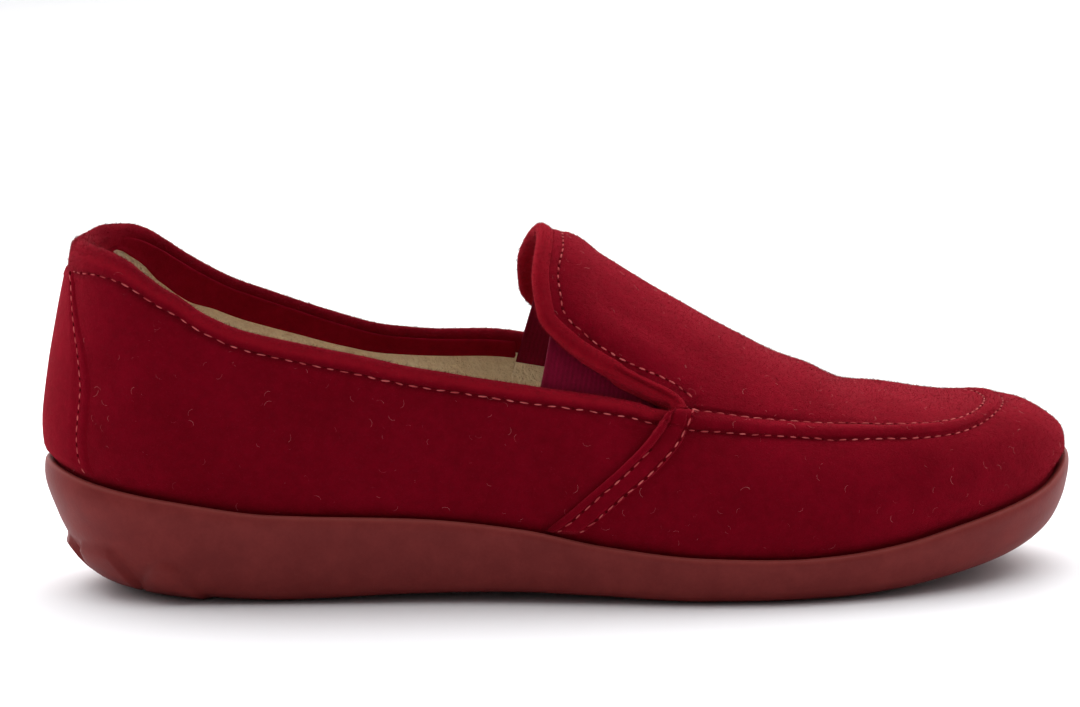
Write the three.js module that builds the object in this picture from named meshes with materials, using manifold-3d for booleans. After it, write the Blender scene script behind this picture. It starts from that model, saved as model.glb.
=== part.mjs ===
// A felt slip-on slipper for the right foot: closed heel, moccasin apron with a free flap over
// two elastic gores, and a moulded rubber unit sole with a cup that takes the upper.
// Millimetres. +X runs to the toe, +Y to the inner (medial) side, +Z up. The origin is on the
// floor, under the middle of the sole's length and width.

import * as THREE from "three";
import { mergeVertices } from "three/addons/utils/BufferGeometryUtils.js";
import Module from "manifold-3d";

const wasm = await Module();
wasm.setup();

// Driving dimensions
const LENGTH = 257; // sole, heel to toe
const HEEL_X = -LENGTH / 2;
const TOE_X = LENGTH / 2;
const WALL = 2.5; // felt and lining together
const GAP = 0.3; // left between two pieces that meet

// Resolution of the faceted forms
const STATIONS = 40; // cross-sections from heel to toe
const UPPER_ROWS = 9; // rows from the widest point to the ridge

// Plan of the sole at its widest level: its axis, and half widths before the ends are rounded
const PLAN = [
  { x: HEEL_X, axis: 0, lateral: 31, medial: 31 },
  { x: -98, axis: 0, lateral: 31.2, medial: 31.2 },
  { x: -64, axis: 0, lateral: 33.5, medial: 32.5 },
  { x: -31, axis: 0, lateral: 35.5, medial: 31.3 },
  { x: 0, axis: 0.8, lateral: 40.8, medial: 33 },
  { x: 31, axis: 2, lateral: 47, medial: 39.8 },
  { x: 51, axis: 3, lateral: 48.6, medial: 42.6 },
  { x: 72, axis: 4.2, lateral: 48.8, medial: 42.8 },
  { x: 98, axis: 6, lateral: 48.8, medial: 42.8 },
  { x: TOE_X, axis: 8, lateral: 48.8, medial: 42.8 },
];
const HEEL_ROUND = { zone: 34, power: 2 };
const TOE_ROUND = { lateral: { zone: 84, power: 2.1 }, medial: { zone: 74, power: 1.95 } };

// Heights along the shoe: underside of the sole, its rim, and the floor of the cup inside it
const SOLE_HEIGHTS = [
  { x: HEEL_X, under: 0, rim: 32.5, floor: 24 },
  { x: -118, under: 0, rim: 29.3, floor: 20.6 },
  { x: -98, under: 0, rim: 25.6, floor: 18.4 },
  { x: -75, under: 0, rim: 22.2, floor: 16.2 },
  { x: -40, under: 1.3, rim: 21, floor: 13.6 },
  { x: -15, under: 1.7, rim: 18.4, floor: 11.4 },
  { x: 5, under: 1, rim: 14.4, floor: 9.2 },
  { x: 28, under: 0, rim: 11.8, floor: 7.2 },
  { x: 50, under: 0, rim: 11.2, floor: 6.6 },
  { x: 62, under: 0, rim: 11.7, floor: 6.8 },
  { x: 77, under: 0.8, rim: 13.4, floor: 7.8 },
  { x: 91, under: 2.4, rim: 16.2, floor: 9.8 },
  { x: 105, under: 4.4, rim: 19, floor: 12.4 },
  { x: 117, under: 6.8, rim: 22, floor: 15 },
  { x: TOE_X, under: 9.5, rim: 28.4, floor: 19.6 },
];

// The sole's side wall, from under the foot to the rim. share is the part of the wall's height;
// heel, side and toe are insets from the plan.
const SOLE_WALL = [
  { share: 0, heel: 30, side: 8, toe: 13 },
  { share: 0.04, heel: 21, side: 5, toe: 9 },
  { share: 0.13, heel: 13.5, side: 3, toe: 6 },
  { share: 0.3, heel: 8, side: 1.7, toe: 3 },
  { share: 0.6, heel: 2.7, side: 0.8, toe: 0.7 },
  { share: 0.88, heel: 0, side: 0, toe: 0 },
  { share: 1, heel: 1, side: 1, toe: 1 },
];
const RIM_THICK = 2.8;
const RIM_DIP = 0.5; // the rim's inner edge lies this much under its crest

// Tread: lobes round the heel's bevel, and waved grooves across the heel and the ball
const TREAD_DEPTH = 1.5;
const LOBES = { x: -97, ring: 21, radius: 7.6, top: 13, proud: 1.2 };
const WAVE = { width: 3.5, swing: 2.2, length: 32, steps: 8 };
const GROOVES = [
  ...[-92, -80, -68].map((x) => ({ x, reach: 14 })),
  ...[20, 32, 44, 56, 68].map((x) => ({ x, reach: 31 })),
];

// The closed last: widest height, ridge height, how far the ridge leans to the medial side, and
// the powers of a section's curve, up and across
const LAST = [
  { x: HEEL_X, widest: 45, ridge: 126, lean: 0, up: 2.2, across: 2 },
  { x: -98, widest: 40, ridge: 124, lean: 0, up: 2.2, across: 2 },
  { x: -60, widest: 33, ridge: 112, lean: 0.5, up: 2.2, across: 2 },
  { x: -30, widest: 30, ridge: 98, lean: 1.5, up: 2.1, across: 2 },
  { x: -8, widest: 28, ridge: 86.6, lean: 2.5, up: 2, across: 1.9 },
  { x: 4, widest: 26, ridge: 82, lean: 2.5, up: 1.95, across: 1.85 },
  { x: 16, widest: 24, ridge: 74.4, lean: 2.4, up: 1.9, across: 1.8 },
  { x: 36, widest: 21, ridge: 62.9, lean: 2, up: 1.9, across: 1.8 },
  { x: 61, widest: 20, ridge: 50.6, lean: 1, up: 2.2, across: 2 },
  { x: 74, widest: 21, ridge: 45.6, lean: 0.5, up: 2.5, across: 2.2 },
  { x: 86, widest: 23, ridge: 43.1, lean: 0, up: 2.7, across: 2.4 },
  { x: 104, widest: 26, ridge: 41.3, lean: 0, up: 2.8, across: 2.4 },
  { x: TOE_X, widest: 29.2, ridge: 40.8, lean: 0, up: 2.8, across: 2.4 },
];
const UPPER_INSET = 1.2; // the upper's widest point, in from the sole's plan
const TUCK = 1.9; // the upper turns in by this much more where it enters the cup
const FOOT_CUT = 8; // what hollows it reaches this far under its foot
const RIM_CLEAR = 0.6; // it starts to turn out this much above the rim
const NOSE = { height: 31.4, zone: 30, power: 2.2 }; // the ridge rounds down to this at the toe
const HEEL_LEAN = { from: 34, rise: 50, forward: 8.2, most: 1.4, power: 1.2, zone: 50 };
const BULGE = { height: 0.4, tuck: 0.35 }; // a row between the rim and the widest height

// The quarters' topline from the heel to the corner under the flap, seen from the side
const TOPLINE = [
  { x: -150, lateral: 84, medial: 84 },
  { x: -115, lateral: 84, medial: 84.8 },
  { x: -107, lateral: 83, medial: 85.4 },
  { x: -101, lateral: 79.6, medial: 83.2 },
  { x: -93, lateral: 74.4, medial: 78.2 },
  { x: -77, lateral: 67.4, medial: 69.8 },
  { x: -55, lateral: 62.2, medial: 62.4 },
  { x: -33, lateral: 57.6, medial: 57.2 },
  { x: -12, lateral: 52.6, medial: 57 },
  { x: 22, lateral: 45.4, medial: 45.8 },
];
// The flap's free edge from that corner to its tip
const FLAP_EDGE = [
  { x: 20.5, z: 47.6 },
  { x: 14, z: 51.4 },
  { x: 5, z: 55.8 },
  { x: -3.5, z: 61.3 },
  { x: -9.4, z: 68.5 },
  { x: -10.4, z: 76 },
  { x: -5, z: 92 },
];
const CUTTER_TOP = 140;
const HALF_SPAN = 70; // half the length of what is cut straight across the shoe
const CLEAR_OF_RIDGE = 12; // pieces of one side lie farther out than this
const OVERLAP = 0.5; // by which two cuts from both sides pass the middle

// Overlays and small pieces. Each is cut from a layer that follows the upper.
const OVERLAY = 1.3; // felt laid over the upper
const SEAM_PROUD = 1;
const SEAM = [
  { x: 26.5, low: 42.8, high: 46.6 },
  { x: 34, low: 42.2, high: 46 },
  { x: 48, low: 40.7, high: 44.3 },
  { x: 62, low: 39.4, high: 42.9 },
  { x: 76, low: 38.7, high: 42 },
  { x: 90, low: 38.4, high: 41.5 },
  { x: 104, low: 38.5, high: 41.2 },
  { x: 130, low: 38.3, high: 40.7 },
];
const EDGE_BAND = { width: 5, over: 0.4 };
const BACKSTAY = [
  { z: 20, half: 18.5 },
  { z: 50, half: 20.5 },
  { z: 58, half: 19 },
  { z: 66, half: 15.5 },
  { z: 73, half: 11.5 },
  { z: 77, half: 8 },
];
const STRIP = [
  { z: 46.8, back: 20.4, front: 25.4 },
  { z: 45, back: 19, front: 24.8 },
  { z: 40, back: 14.5, front: 22.6 },
  { z: 34, back: 8.5, front: 17.5 },
  { z: 27, back: 0.8, front: 9.8 },
  { z: 20, back: -6.6, front: 2.2 },
  { z: 12, back: -15, front: -7 },
];
const GORE = {
  thick: 1.2,
  outline: [
    { x: -11.5, z: 42 },
    { x: -6.5, z: 58 },
    { x: -4.5, z: 70 },
    { x: 10, z: 62 },
    { x: 31, z: 51 },
    { x: 34, z: 37 },
  ],
};
const INSOLE = { thick: 4, edge: 1 };

// A smooth curve through one column of a table, which never overshoots its rows.
function curve(table, column) {
  const xs = table.map((row) => row.x);
  const ys = table.map((row) => row[column]);
  const end = xs.length - 1;
  const rise = ys.slice(1).map((y, i) => (y - ys[i]) / (xs[i + 1] - xs[i]));
  const slope = xs.map((_, i) => {
    const before = rise[Math.max(i - 1, 0)];
    const after = rise[Math.min(i, end - 1)];
    return before * after > 0 ? (2 * before * after) / (before + after) : 0;
  });
  return (x) => {
    const at = THREE.MathUtils.clamp(x, xs[0], xs[end]);
    const i = Math.min(Math.max(xs.findLastIndex((known) => known <= at), 0), end - 1);
    const step = xs[i + 1] - xs[i];
    const t = (at - xs[i]) / step;
    const ease = t * t * (3 - 2 * t);
    const swing = (t - 1) * t * step * ((t - 1) * slope[i] + t * slope[i + 1]);
    return ys[i] + (ys[i + 1] - ys[i]) * ease + swing;
  };
}

const axisAt = curve(PLAN, "axis");
const planAt = { lateral: curve(PLAN, "lateral"), medial: curve(PLAN, "medial") };
const underAt = curve(SOLE_HEIGHTS, "under");
const rimAt = curve(SOLE_HEIGHTS, "rim");
const floorAt = curve(SOLE_HEIGHTS, "floor");
const last = Object.fromEntries(
  ["widest", "ridge", "lean", "up", "across"].map((name) => [name, curve(LAST, name)]),
);

// A quarter of a superellipse: 0 at an end, 1 from the zone's far side on.
function rounded(distance, { zone, power }) {
  const u = 1 - THREE.MathUtils.clamp(distance / zone, 0, 1);
  return (1 - u ** power) ** (1 / power);
}

// Half width of the plan on one side, taken in by an inset at the heel, the side and the toe.
function halfWidth(side, x, inset) {
  const heel = rounded(x - (HEEL_X + inset.heel), HEEL_ROUND);
  const toe = rounded(TOE_X - inset.toe - x, TOE_ROUND[side]);
  return (planAt[side](x) - inset.side) * heel * toe;
}

// Stations between two ends, closer together where the ends curve round.
function stationsBetween(from, to, count) {
  return Array.from({ length: count + 1 }, (_, i) => {
    return from + ((to - from) * (1 - Math.cos((Math.PI * i) / count))) / 2;
  });
}

// A solid of triangles from quads, given as rows of points; equal points are merged.
function solidOf(quads) {
  const positions = quads.flatMap(([a, b, c, d]) => [a, b, c, a, c, d]).flat();
  const loose = new THREE.BufferGeometry();
  loose.setAttribute("position", new THREE.Float32BufferAttribute(positions, 3));
  return solidOfGeometry(loose);
}

function solidOfGeometry(geometry) {
  const bare = geometry.index ? geometry.toNonIndexed() : geometry;
  bare.deleteAttribute("normal");
  bare.deleteAttribute("uv");
  const merged = mergeVertices(bare, 1e-3);
  const corners = [];
  for (let i = 0; i < merged.index.count; i += 3) {
    const [a, b, c] = [0, 1, 2].map((k) => merged.index.getX(i + k));
    if (a !== b && b !== c && c !== a) {
      corners.push(a, b, c);
    }
  }
  return new wasm.Manifold(
    new wasm.Mesh({
      numProp: 3,
      vertProperties: merged.attributes.position.array,
      triVerts: new Uint32Array(corners),
    }),
  );
}

// Quads between two closed rings of equal length. From a lower ring to a higher one that runs
// counter-clockwise seen from above, they face outwards.
function band(lower, upper) {
  return lower.map((point, i) => {
    const next = (i + 1) % lower.length;
    return [point, lower[next], upper[next], upper[i]];
  });
}

// Quads across a plan ring, from its lateral half to its medial half, facing up.
function across(ring) {
  const half = ring.length / 2;
  const medial = (i) => ring[(ring.length - i) % ring.length];
  return Array.from({ length: half }, (_, i) => [ring[i], ring[i + 1], medial(i + 1), medial(i)]);
}

function facingDown(quads) {
  return quads.map(([a, b, c, d]) => [d, c, b, a]);
}

// A ring round the plan: heel, lateral side, toe, medial side.
function planRing(inset, heightAt) {
  const xs = stationsBetween(HEEL_X + inset.heel, TOE_X - inset.toe, STATIONS);
  const point = (side, sign) => (x) => {
    return [x, axisAt(x) + sign * halfWidth(side, x, inset), heightAt(x)];
  };
  const medial = xs.slice(1, -1).reverse().map(point("medial", 1));
  return [...xs.map(point("lateral", -1)), ...medial];
}

function evenInset(inset) {
  return { heel: inset, side: inset, toe: inset };
}

// The sole's outer form as rings from the bottom to the rim, with its underside raised, and its
// lower half grown outwards.
function soleRings(raised, proud) {
  return SOLE_WALL.map((row) => {
    const out = row.share < 0.5 ? proud : 0;
    const inset = { heel: row.heel - out, side: row.side - out, toe: row.toe - out };
    return planRing(inset, (x) => {
      const low = underAt(x);
      return low + row.share * (rimAt(x) - low) + raised * (1 - row.share) ** 2;
    });
  });
}

function stacked(rings) {
  const walls = rings.slice(1).flatMap((ring, i) => band(rings[i], ring));
  return solidOf([...facingDown(across(rings[0])), ...walls, ...across(rings.at(-1))]);
}

// A flat outline raised along +Z from the XY plane.
function extruded(outline, depth) {
  return new THREE.ExtrudeGeometry(new THREE.Shape(outline), { depth, bevelEnabled: false });
}

function prism(outline, low, high) {
  return solidOfGeometry(extruded(outline, high - low).translate(0, 0, low));
}

function disc(x, y, radius) {
  const sides = 20;
  return Array.from({ length: sides }, (_, i) => {
    const turn = (2 * Math.PI * i) / sides;
    return new THREE.Vector2(x + radius * Math.cos(turn), y + radius * Math.sin(turn));
  });
}

function joined(solids) {
  return solids.reduce((all, one) => all.add(one));
}

// Round lobes side by side, which stand proud of the heel's bevel.
function heelLobes() {
  return [-90, -45, 0, 45, 90].map((degrees) => {
    const turn = THREE.MathUtils.degToRad(degrees);
    const { x, ring, radius } = LOBES;
    return disc(x - ring * Math.cos(turn), ring * Math.sin(turn), radius);
  });
}

// A groove across the tread, waved like a shallow S.
function waveGroove({ x, reach }) {
  const edge = (sign) => {
    return Array.from({ length: WAVE.steps + 1 }, (_, i) => {
      const y = -reach + (2 * reach * i) / WAVE.steps;
      const swing = WAVE.swing * Math.sin((2 * Math.PI * y) / WAVE.length);
      return new THREE.Vector2(x + (sign * WAVE.width) / 2 + swing, y);
    });
  };
  return [...edge(1), ...edge(-1).reverse()];
}

function makeSole() {
  const rings = soleRings(0, 0);
  const inner = evenInset(RIM_THICK);
  rings.push(planRing(inner, (x) => rimAt(x) - RIM_DIP));
  rings.push(planRing(inner, (x) => floorAt(x)));
  const tall = (outline) => prism(outline, -TREAD_DEPTH, LOBES.top);
  const lobes = joined(heelLobes().map(tall));
  const grooves = joined(GROOVES.map((groove) => tall(waveGroove(groove))));
  const core = stacked(soleRings(TREAD_DEPTH, 0));
  return stacked(rings)
    .add(lobes.intersect(stacked(soleRings(0, LOBES.proud))))
    .subtract(grooves.subtract(core));
}

// The closed last grown outwards, standing foot above the floor of the cup.
function lastForm(grow, foot) {
  const rows = lastRows(grow, foot);
  const sections = Array.from({ length: STATIONS + 1 }, (_, i) => {
    const point = (side, sign) => (row) => {
      const inset = evenInset(UPPER_INSET - grow + row.tuck);
      const x = stationsBetween(HEEL_X + inset.heel, TOE_X - inset.toe, STATIONS)[i];
      const z = row.height(x);
      const wide = halfWidth(side, x, inset) * row.share(x);
      const y = axisAt(x) + last.lean(x) * row.climb(x) ** 2 + sign * wide;
      return [x + heelLean(x, z), y, z];
    };
    const medial = rows.slice(0, -1).reverse().map(point("medial", 1));
    return [...rows.map(point("lateral", -1)), ...medial];
  });
  const walls = sections.slice(1).flatMap((ring, i) => facingDown(band(sections[i], ring)));
  return solidOf(walls);
}

// Rows of a section of the last from its foot to the ridge: upright in the cup, out over the
// rim to the widest height, then arched over the foot.
function lastRows(grow, foot) {
  const flat = { share: () => 1, climb: () => 0 };
  const bulge = (t) => (x) => {
    const low = rimAt(x) + RIM_CLEAR;
    return low + (last.widest(x) - low) * t;
  };
  const ridgeAt = (x) => {
    const low = NOSE.height + grow;
    return low + (last.ridge(x) + grow - low) * rounded(TOE_X - UPPER_INSET + grow - x, NOSE);
  };
  const arched = Array.from({ length: UPPER_ROWS + 1 }, (_, j) => {
    const turn = (Math.PI / 2) * (j / UPPER_ROWS);
    const climb = (x) => Math.sin(turn) ** (2 / last.up(x));
    return {
      tuck: 0,
      climb,
      share: (x) => (j === UPPER_ROWS ? 0 : Math.cos(turn) ** (2 / last.across(x))),
      height: (x) => last.widest(x) + (ridgeAt(x) - last.widest(x)) * climb(x),
    };
  });
  return [
    { tuck: TUCK, height: (x) => floorAt(x) + foot, ...flat },
    { tuck: TUCK, height: bulge(0), ...flat },
    { tuck: TUCK * BULGE.tuck, height: bulge(BULGE.height), ...flat },
    ...arched,
  ];
}

// The back of the heel curves forward towards the topline.
function heelLean(x, z) {
  const high = Math.max(z - HEEL_LEAN.from, 0) / HEEL_LEAN.rise;
  const near = Math.max(1 - (x - HEEL_X) / HEEL_LEAN.zone, 0);
  return HEEL_LEAN.forward * Math.min(high, HEEL_LEAN.most) ** HEEL_LEAN.power * near ** 2;
}

// An outline in the XZ plane, run straight across the shoe between two values of y.
function acrossShoe(outline, from, to) {
  return solidOfGeometry(extruded(outline, to - from).rotateX(Math.PI / 2).translate(0, to, 0));
}

// The same on one side of the shoe only: sign is -1 for the lateral side and 1 for the medial.
function acrossSide(outline, sign) {
  const [from, to] = [sign * CLEAR_OF_RIDGE, sign * HALF_SPAN].sort((a, b) => a - b);
  return acrossShoe(outline, from, to);
}

// An outline in the YZ plane, run along the shoe between two values of x.
function alongShoe(outline, from, to) {
  const upright = extruded(outline, to - from).rotateY(Math.PI / 2).rotateX(Math.PI / 2);
  return solidOfGeometry(upright.translate(from, 0, 0));
}

function smooth(points, steps) {
  return new THREE.SplineCurve(points).getPoints(steps);
}

function flapEdge() {
  return smooth(FLAP_EDGE.map(({ x, z }) => new THREE.Vector2(x, z)), 16);
}

// All that is open above one side of the collar.
function collarCutter(side) {
  const topline = TOPLINE.slice(1).map((row) => new THREE.Vector2(row.x, row[side]));
  const outline = [
    new THREE.Vector2(TOPLINE[0].x, CUTTER_TOP),
    new THREE.Vector2(TOPLINE[0].x, TOPLINE[0][side]),
    ...smooth(topline, 26),
    ...flapEdge(),
    new THREE.Vector2(FLAP_EDGE.at(-1).x, CUTTER_TOP),
  ];
  return side === "lateral"
    ? acrossShoe(outline, -HALF_SPAN, OVERLAP)
    : acrossShoe(outline, -OVERLAP, HALF_SPAN);
}

// The raised seam round the apron, as a slab between its lower and upper edges.
function seamSlab() {
  const edge = (name) => smooth(SEAM.map((row) => new THREE.Vector2(row.x, row[name])), 12);
  return acrossShoe([...edge("low"), ...edge("high").reverse()], -HALF_SPAN, HALF_SPAN);
}

function makeUpper() {
  return lastForm(0, GAP)
    .add(lastForm(SEAM_PROUD, GAP).intersect(seamSlab()))
    .subtract(lastForm(-WALL, -FOOT_CUT))
    .subtract(collarCutter("lateral"))
    .subtract(collarCutter("medial"));
}

// A layer over the upper, clear of the sole's rim.
function overlay() {
  const past = evenInset(-4 * RIM_THICK);
  const under = planRing(past, () => -RIM_THICK);
  const rimBlock = stacked([under, planRing(past, (x) => rimAt(x) + GAP)]);
  return lastForm(GAP + OVERLAY, GAP).subtract(lastForm(GAP, -FOOT_CUT)).subtract(rimBlock);
}

// The puffed edge of the flap: a band along its free edge, over both sides and the ridge.
function makeFlapEdge() {
  const edge = flapEdge();
  const normals = edge.map((point, i) => {
    const before = edge[Math.max(i - 1, 0)];
    const after = edge[Math.min(i + 1, edge.length - 1)];
    const along = after.clone().sub(before).normalize();
    return new THREE.Vector2(along.y, -along.x);
  });
  const shifted = (by) => edge.map((point, i) => point.clone().addScaledVector(normals[i], by));
  const outline = [...shifted(-EDGE_BAND.over), ...shifted(EDGE_BAND.width).reverse()];
  return overlay().intersect(acrossShoe(outline, -HALF_SPAN, HALF_SPAN));
}

function makeStrip(sign) {
  const back = STRIP.map(({ z, back: x }) => new THREE.Vector2(x, z));
  const front = STRIP.map(({ z, front: x }) => new THREE.Vector2(x, z)).reverse();
  return overlay().intersect(acrossSide([...back, ...front], sign));
}

function makeBackstay() {
  const half = (sign) => BACKSTAY.map((row) => new THREE.Vector2(sign * row.half, row.z));
  const outline = [...half(1), ...half(-1).reverse()];
  return overlay().intersect(alongShoe(outline, -LENGTH, HEEL_X + HEEL_ROUND.zone));
}

function makeInsole() {
  const edge = RIM_THICK + GAP + WALL + GAP;
  const at = (inset, rise) => planRing(evenInset(inset), (x) => floorAt(x) + GAP + rise);
  return stacked([
    at(edge + INSOLE.edge, 0),
    at(edge, INSOLE.edge),
    at(edge, INSOLE.thick - INSOLE.edge),
    at(edge + INSOLE.edge, INSOLE.thick),
  ]);
}

// An elastic gore on the inside of the wall, between the topline and the flap.
function makeGore(sign) {
  const outline = GORE.outline.map(({ x, z }) => new THREE.Vector2(x, z));
  const outer = -WALL - GAP;
  const layer = lastForm(outer, GAP).subtract(lastForm(outer - GORE.thick, -FOOT_CUT));
  return layer.intersect(acrossSide(outline, sign));
}

const FELT = { roughness: 0.95, metalness: 0 };
const finishes = {
  rubber: new THREE.MeshStandardMaterial({ color: 0x7a2f2c, roughness: 0.55, metalness: 0 }),
  felt: new THREE.MeshStandardMaterial({ color: 0x8c0f1c, ...FELT }),
  elastic: new THREE.MeshStandardMaterial({ color: 0x5a0a24, ...FELT }),
  fleece: new THREE.MeshStandardMaterial({ color: 0xcbb489, ...FELT }),
};

const slipper = new THREE.Group();

function addPiece(name, solid, finish) {
  const made = solid.getMesh();
  const geometry = new THREE.BufferGeometry();
  geometry.setAttribute("position", new THREE.BufferAttribute(made.vertProperties, 3));
  geometry.setIndex(new THREE.BufferAttribute(made.triVerts, 1));
  geometry.computeVertexNormals();
  const mesh = new THREE.Mesh(geometry, finishes[finish]);
  mesh.name = name;
  slipper.add(mesh);
}

addPiece("sole", makeSole(), "rubber");
addPiece("insole", makeInsole(), "fleece");
addPiece("upper", makeUpper(), "felt");
addPiece("flap_edge", makeFlapEdge(), "felt");
addPiece("strip_lateral", makeStrip(-1), "felt");
addPiece("strip_medial", makeStrip(1), "felt");
addPiece("backstay", makeBackstay(), "felt");
addPiece("gore_lateral", makeGore(-1), "elastic");
addPiece("gore_medial", makeGore(1), "elastic");

export default slipper;
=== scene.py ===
# %% [markdown]
# # A felt slip-on house shoe, dressed around its CAD frame
# The CAD model gives the true form of a right shoe: a felt upper shaped on a last, an elastic gore
# on each side of the foot, and a moulded sole. This script keeps that form and adds what a maker
# adds to it: rolled edges, a raised seam, stitches, ribs, fleece, and the fuzz of felt.
# Lengths are written in millimetres, and become metres where a mesh is made.

import bmesh
import bpy
import numpy as np
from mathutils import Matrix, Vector
from mathutils.bvhtree import BVHTree


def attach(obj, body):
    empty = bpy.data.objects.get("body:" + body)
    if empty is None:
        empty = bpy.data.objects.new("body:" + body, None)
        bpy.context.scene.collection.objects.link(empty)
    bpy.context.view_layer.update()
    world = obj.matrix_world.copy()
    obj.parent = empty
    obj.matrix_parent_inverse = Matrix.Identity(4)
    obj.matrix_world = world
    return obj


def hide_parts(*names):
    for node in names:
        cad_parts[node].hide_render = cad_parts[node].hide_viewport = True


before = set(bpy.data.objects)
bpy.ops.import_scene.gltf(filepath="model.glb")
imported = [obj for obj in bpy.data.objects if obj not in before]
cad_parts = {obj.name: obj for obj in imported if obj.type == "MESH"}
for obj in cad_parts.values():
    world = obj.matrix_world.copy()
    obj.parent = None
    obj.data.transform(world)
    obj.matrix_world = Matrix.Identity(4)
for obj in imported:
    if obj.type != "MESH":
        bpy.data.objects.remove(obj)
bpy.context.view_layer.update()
MM = 0.001
print("CAD nodes:", ", ".join(sorted(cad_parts)))

# %% [markdown]
# ## The last as a set of curves
# A shoe's form is read off its last, section by section from heel to toe. Each table below holds
# a few sections, one list to a column, and a smooth curve runs through every column. The same
# tables shape the CAD solids, so a piece made from them lies where its solid lies.

# %% Tables of named columns, and a curve through one column
HEEL_X, TOE_X = -128.5, 128.5


def table(**columns):
    return {name: np.array(column, float) for name, column in columns.items()}


def curve(rows, column, along="x"):
    """A smooth curve through a column, which never overshoots its rows."""
    xs, ys = rows[along], rows[column]
    rise = np.diff(ys) / np.diff(xs)
    before = np.concatenate([rise[:1], rise])
    after = np.concatenate([rise, rise[-1:]])
    same_way = before * after > 0
    slope = np.where(same_way, 2 * before * after / np.where(same_way, before + after, 1), 0)

    def at(x):
        x = np.clip(x, xs[0], xs[-1])
        i = np.clip(np.searchsorted(xs, x, side="right") - 1, 0, len(xs) - 2)
        step = xs[i + 1] - xs[i]
        t = (x - xs[i]) / step
        ease = t * t * (3 - 2 * t)
        swing = (t - 1) * t * step * ((t - 1) * slope[i] + t * slope[i + 1])
        return ys[i] + (ys[i + 1] - ys[i]) * ease + swing

    return at


# %% Plan of the sole, and its heights
PLAN = table(
    x=(HEEL_X, -98, -64, -31, 0, 31, 51, 72, 98, TOE_X),
    axis=(0, 0, 0, 0, 0.8, 2, 3, 4.2, 6, 8),
    lateral=(31, 31.2, 33.5, 35.5, 40.8, 47, 48.6, 48.8, 48.8, 48.8),
    medial=(31, 31.2, 32.5, 31.3, 33, 39.8, 42.6, 42.8, 42.8, 42.8),
)
SOLE_HEIGHTS = table(
    x=(HEEL_X, -118, -98, -75, -40, -15, 5, 28, 50, 62, 77, 91, 105, 117, TOE_X),
    under=(0, 0, 0, 0, 1.3, 1.7, 1, 0, 0, 0, 0.8, 2.4, 4.4, 6.8, 9.5),
    rim=(32.5, 29.3, 25.6, 22.2, 21, 18.4, 14.4, 11.8, 11.2, 11.7, 13.4, 16.2, 19, 22, 28.4),
    floor=(24, 20.6, 18.4, 16.2, 13.6, 11.4, 9.2, 7.2, 6.6, 6.8, 7.8, 9.8, 12.4, 15, 19.6),
)
HEEL_ROUND = (34, 2)
TOE_ROUND = {"lateral": (84, 2.1), "medial": (74, 1.95)}
axis_at = curve(PLAN, "axis")
plan_at = {side: curve(PLAN, side) for side in ("lateral", "medial")}
under_at, rim_at, floor_at = (curve(SOLE_HEIGHTS, name) for name in ("under", "rim", "floor"))


def rounded(distance, zone, power):
    """A quarter of a superellipse: 0 at an end of the shoe, 1 from the zone's far side on."""
    u = 1 - np.clip(distance / zone, 0, 1)
    return (1 - u**power) ** (1 / power)


def half_width(x, sign, heel, side, toe):
    """Half width of the plan, taken in at the heel, the side and the toe; sign is -1 outside."""
    wide = np.where(sign < 0, plan_at["lateral"](x), plan_at["medial"](x)) - side
    toe_end = TOE_X - toe - x
    lateral = rounded(toe_end, *TOE_ROUND["lateral"])
    medial = rounded(toe_end, *TOE_ROUND["medial"])
    heel_round = rounded(x - HEEL_X - heel, *HEEL_ROUND)
    return wide * heel_round * np.where(sign < 0, lateral, medial)


def station_x(s, heel, toe):
    """x of a station: s runs from 0 at the heel to 1 at the toe, slower near both ends."""
    return HEEL_X + heel + (TOE_X - toe - HEEL_X - heel) * (1 - np.cos(np.pi * s)) / 2


def station_of(x, inset):
    """The station whose x is given, on an outline taken in by the same amount all round."""
    reach = TOE_X - HEEL_X - 2 * inset
    return np.arccos(1 - 2 * (x - HEEL_X - inset) / reach) / np.pi


print("sole, heel to toe:", TOE_X - HEEL_X, "mm")

# %% The last's sections
LAST = table(
    x=(HEEL_X, -98, -60, -30, -8, 4, 16, 36, 61, 74, 86, 104, TOE_X),
    widest=(45, 40, 33, 30, 28, 26, 24, 21, 20, 21, 23, 26, 29.2),
    ridge=(126, 124, 112, 98, 86.6, 82, 74.4, 62.9, 50.6, 45.6, 43.1, 41.3, 40.8),
    lean=(0, 0, 0.5, 1.5, 2.5, 2.5, 2.4, 2, 1, 0.5, 0, 0, 0),
    up=(2.2, 2.2, 2.2, 2.1, 2, 1.95, 1.9, 1.9, 2.2, 2.5, 2.7, 2.8, 2.8),
    across=(2, 2, 2, 2, 1.9, 1.85, 1.8, 1.8, 2, 2.2, 2.4, 2.4, 2.4),
)
UPPER_INSET, TUCK, TUCK_CURVE, RIM_CLEAR, GAP = 1.2, 1.9, 2.05, 0.6, 0.3
NOSE_HEIGHT, NOSE_ROUND = 31.4, (30, 2.2)
WALL, RIM_THICK = 2.5, 2.8
widest_at, ridge_of, lean_at, up_at, across_at = (
    curve(LAST, name) for name in ("widest", "ridge", "lean", "up", "across")
)


def ridge_at(x, grow):
    low = NOSE_HEIGHT + grow
    return low + (ridge_of(x) + grow - low) * rounded(TOE_X - UPPER_INSET + grow - x, *NOSE_ROUND)


def heel_lean(x, z):
    """The back of the heel curves forward towards the topline."""
    high = np.maximum(z - 34, 0) / 50
    near = np.maximum(1 - (x - HEEL_X) / 50, 0)
    return 8.2 * np.minimum(high, 1.4) ** 1.2 * near**2


def climb_at(x, z, grow):
    """How far up the arch a height lies: 0 at the widest height and 1 on the ridge."""
    return np.clip((z - widest_at(x)) / (ridge_at(x, grow) - widest_at(x)), 0, 1)


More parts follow.
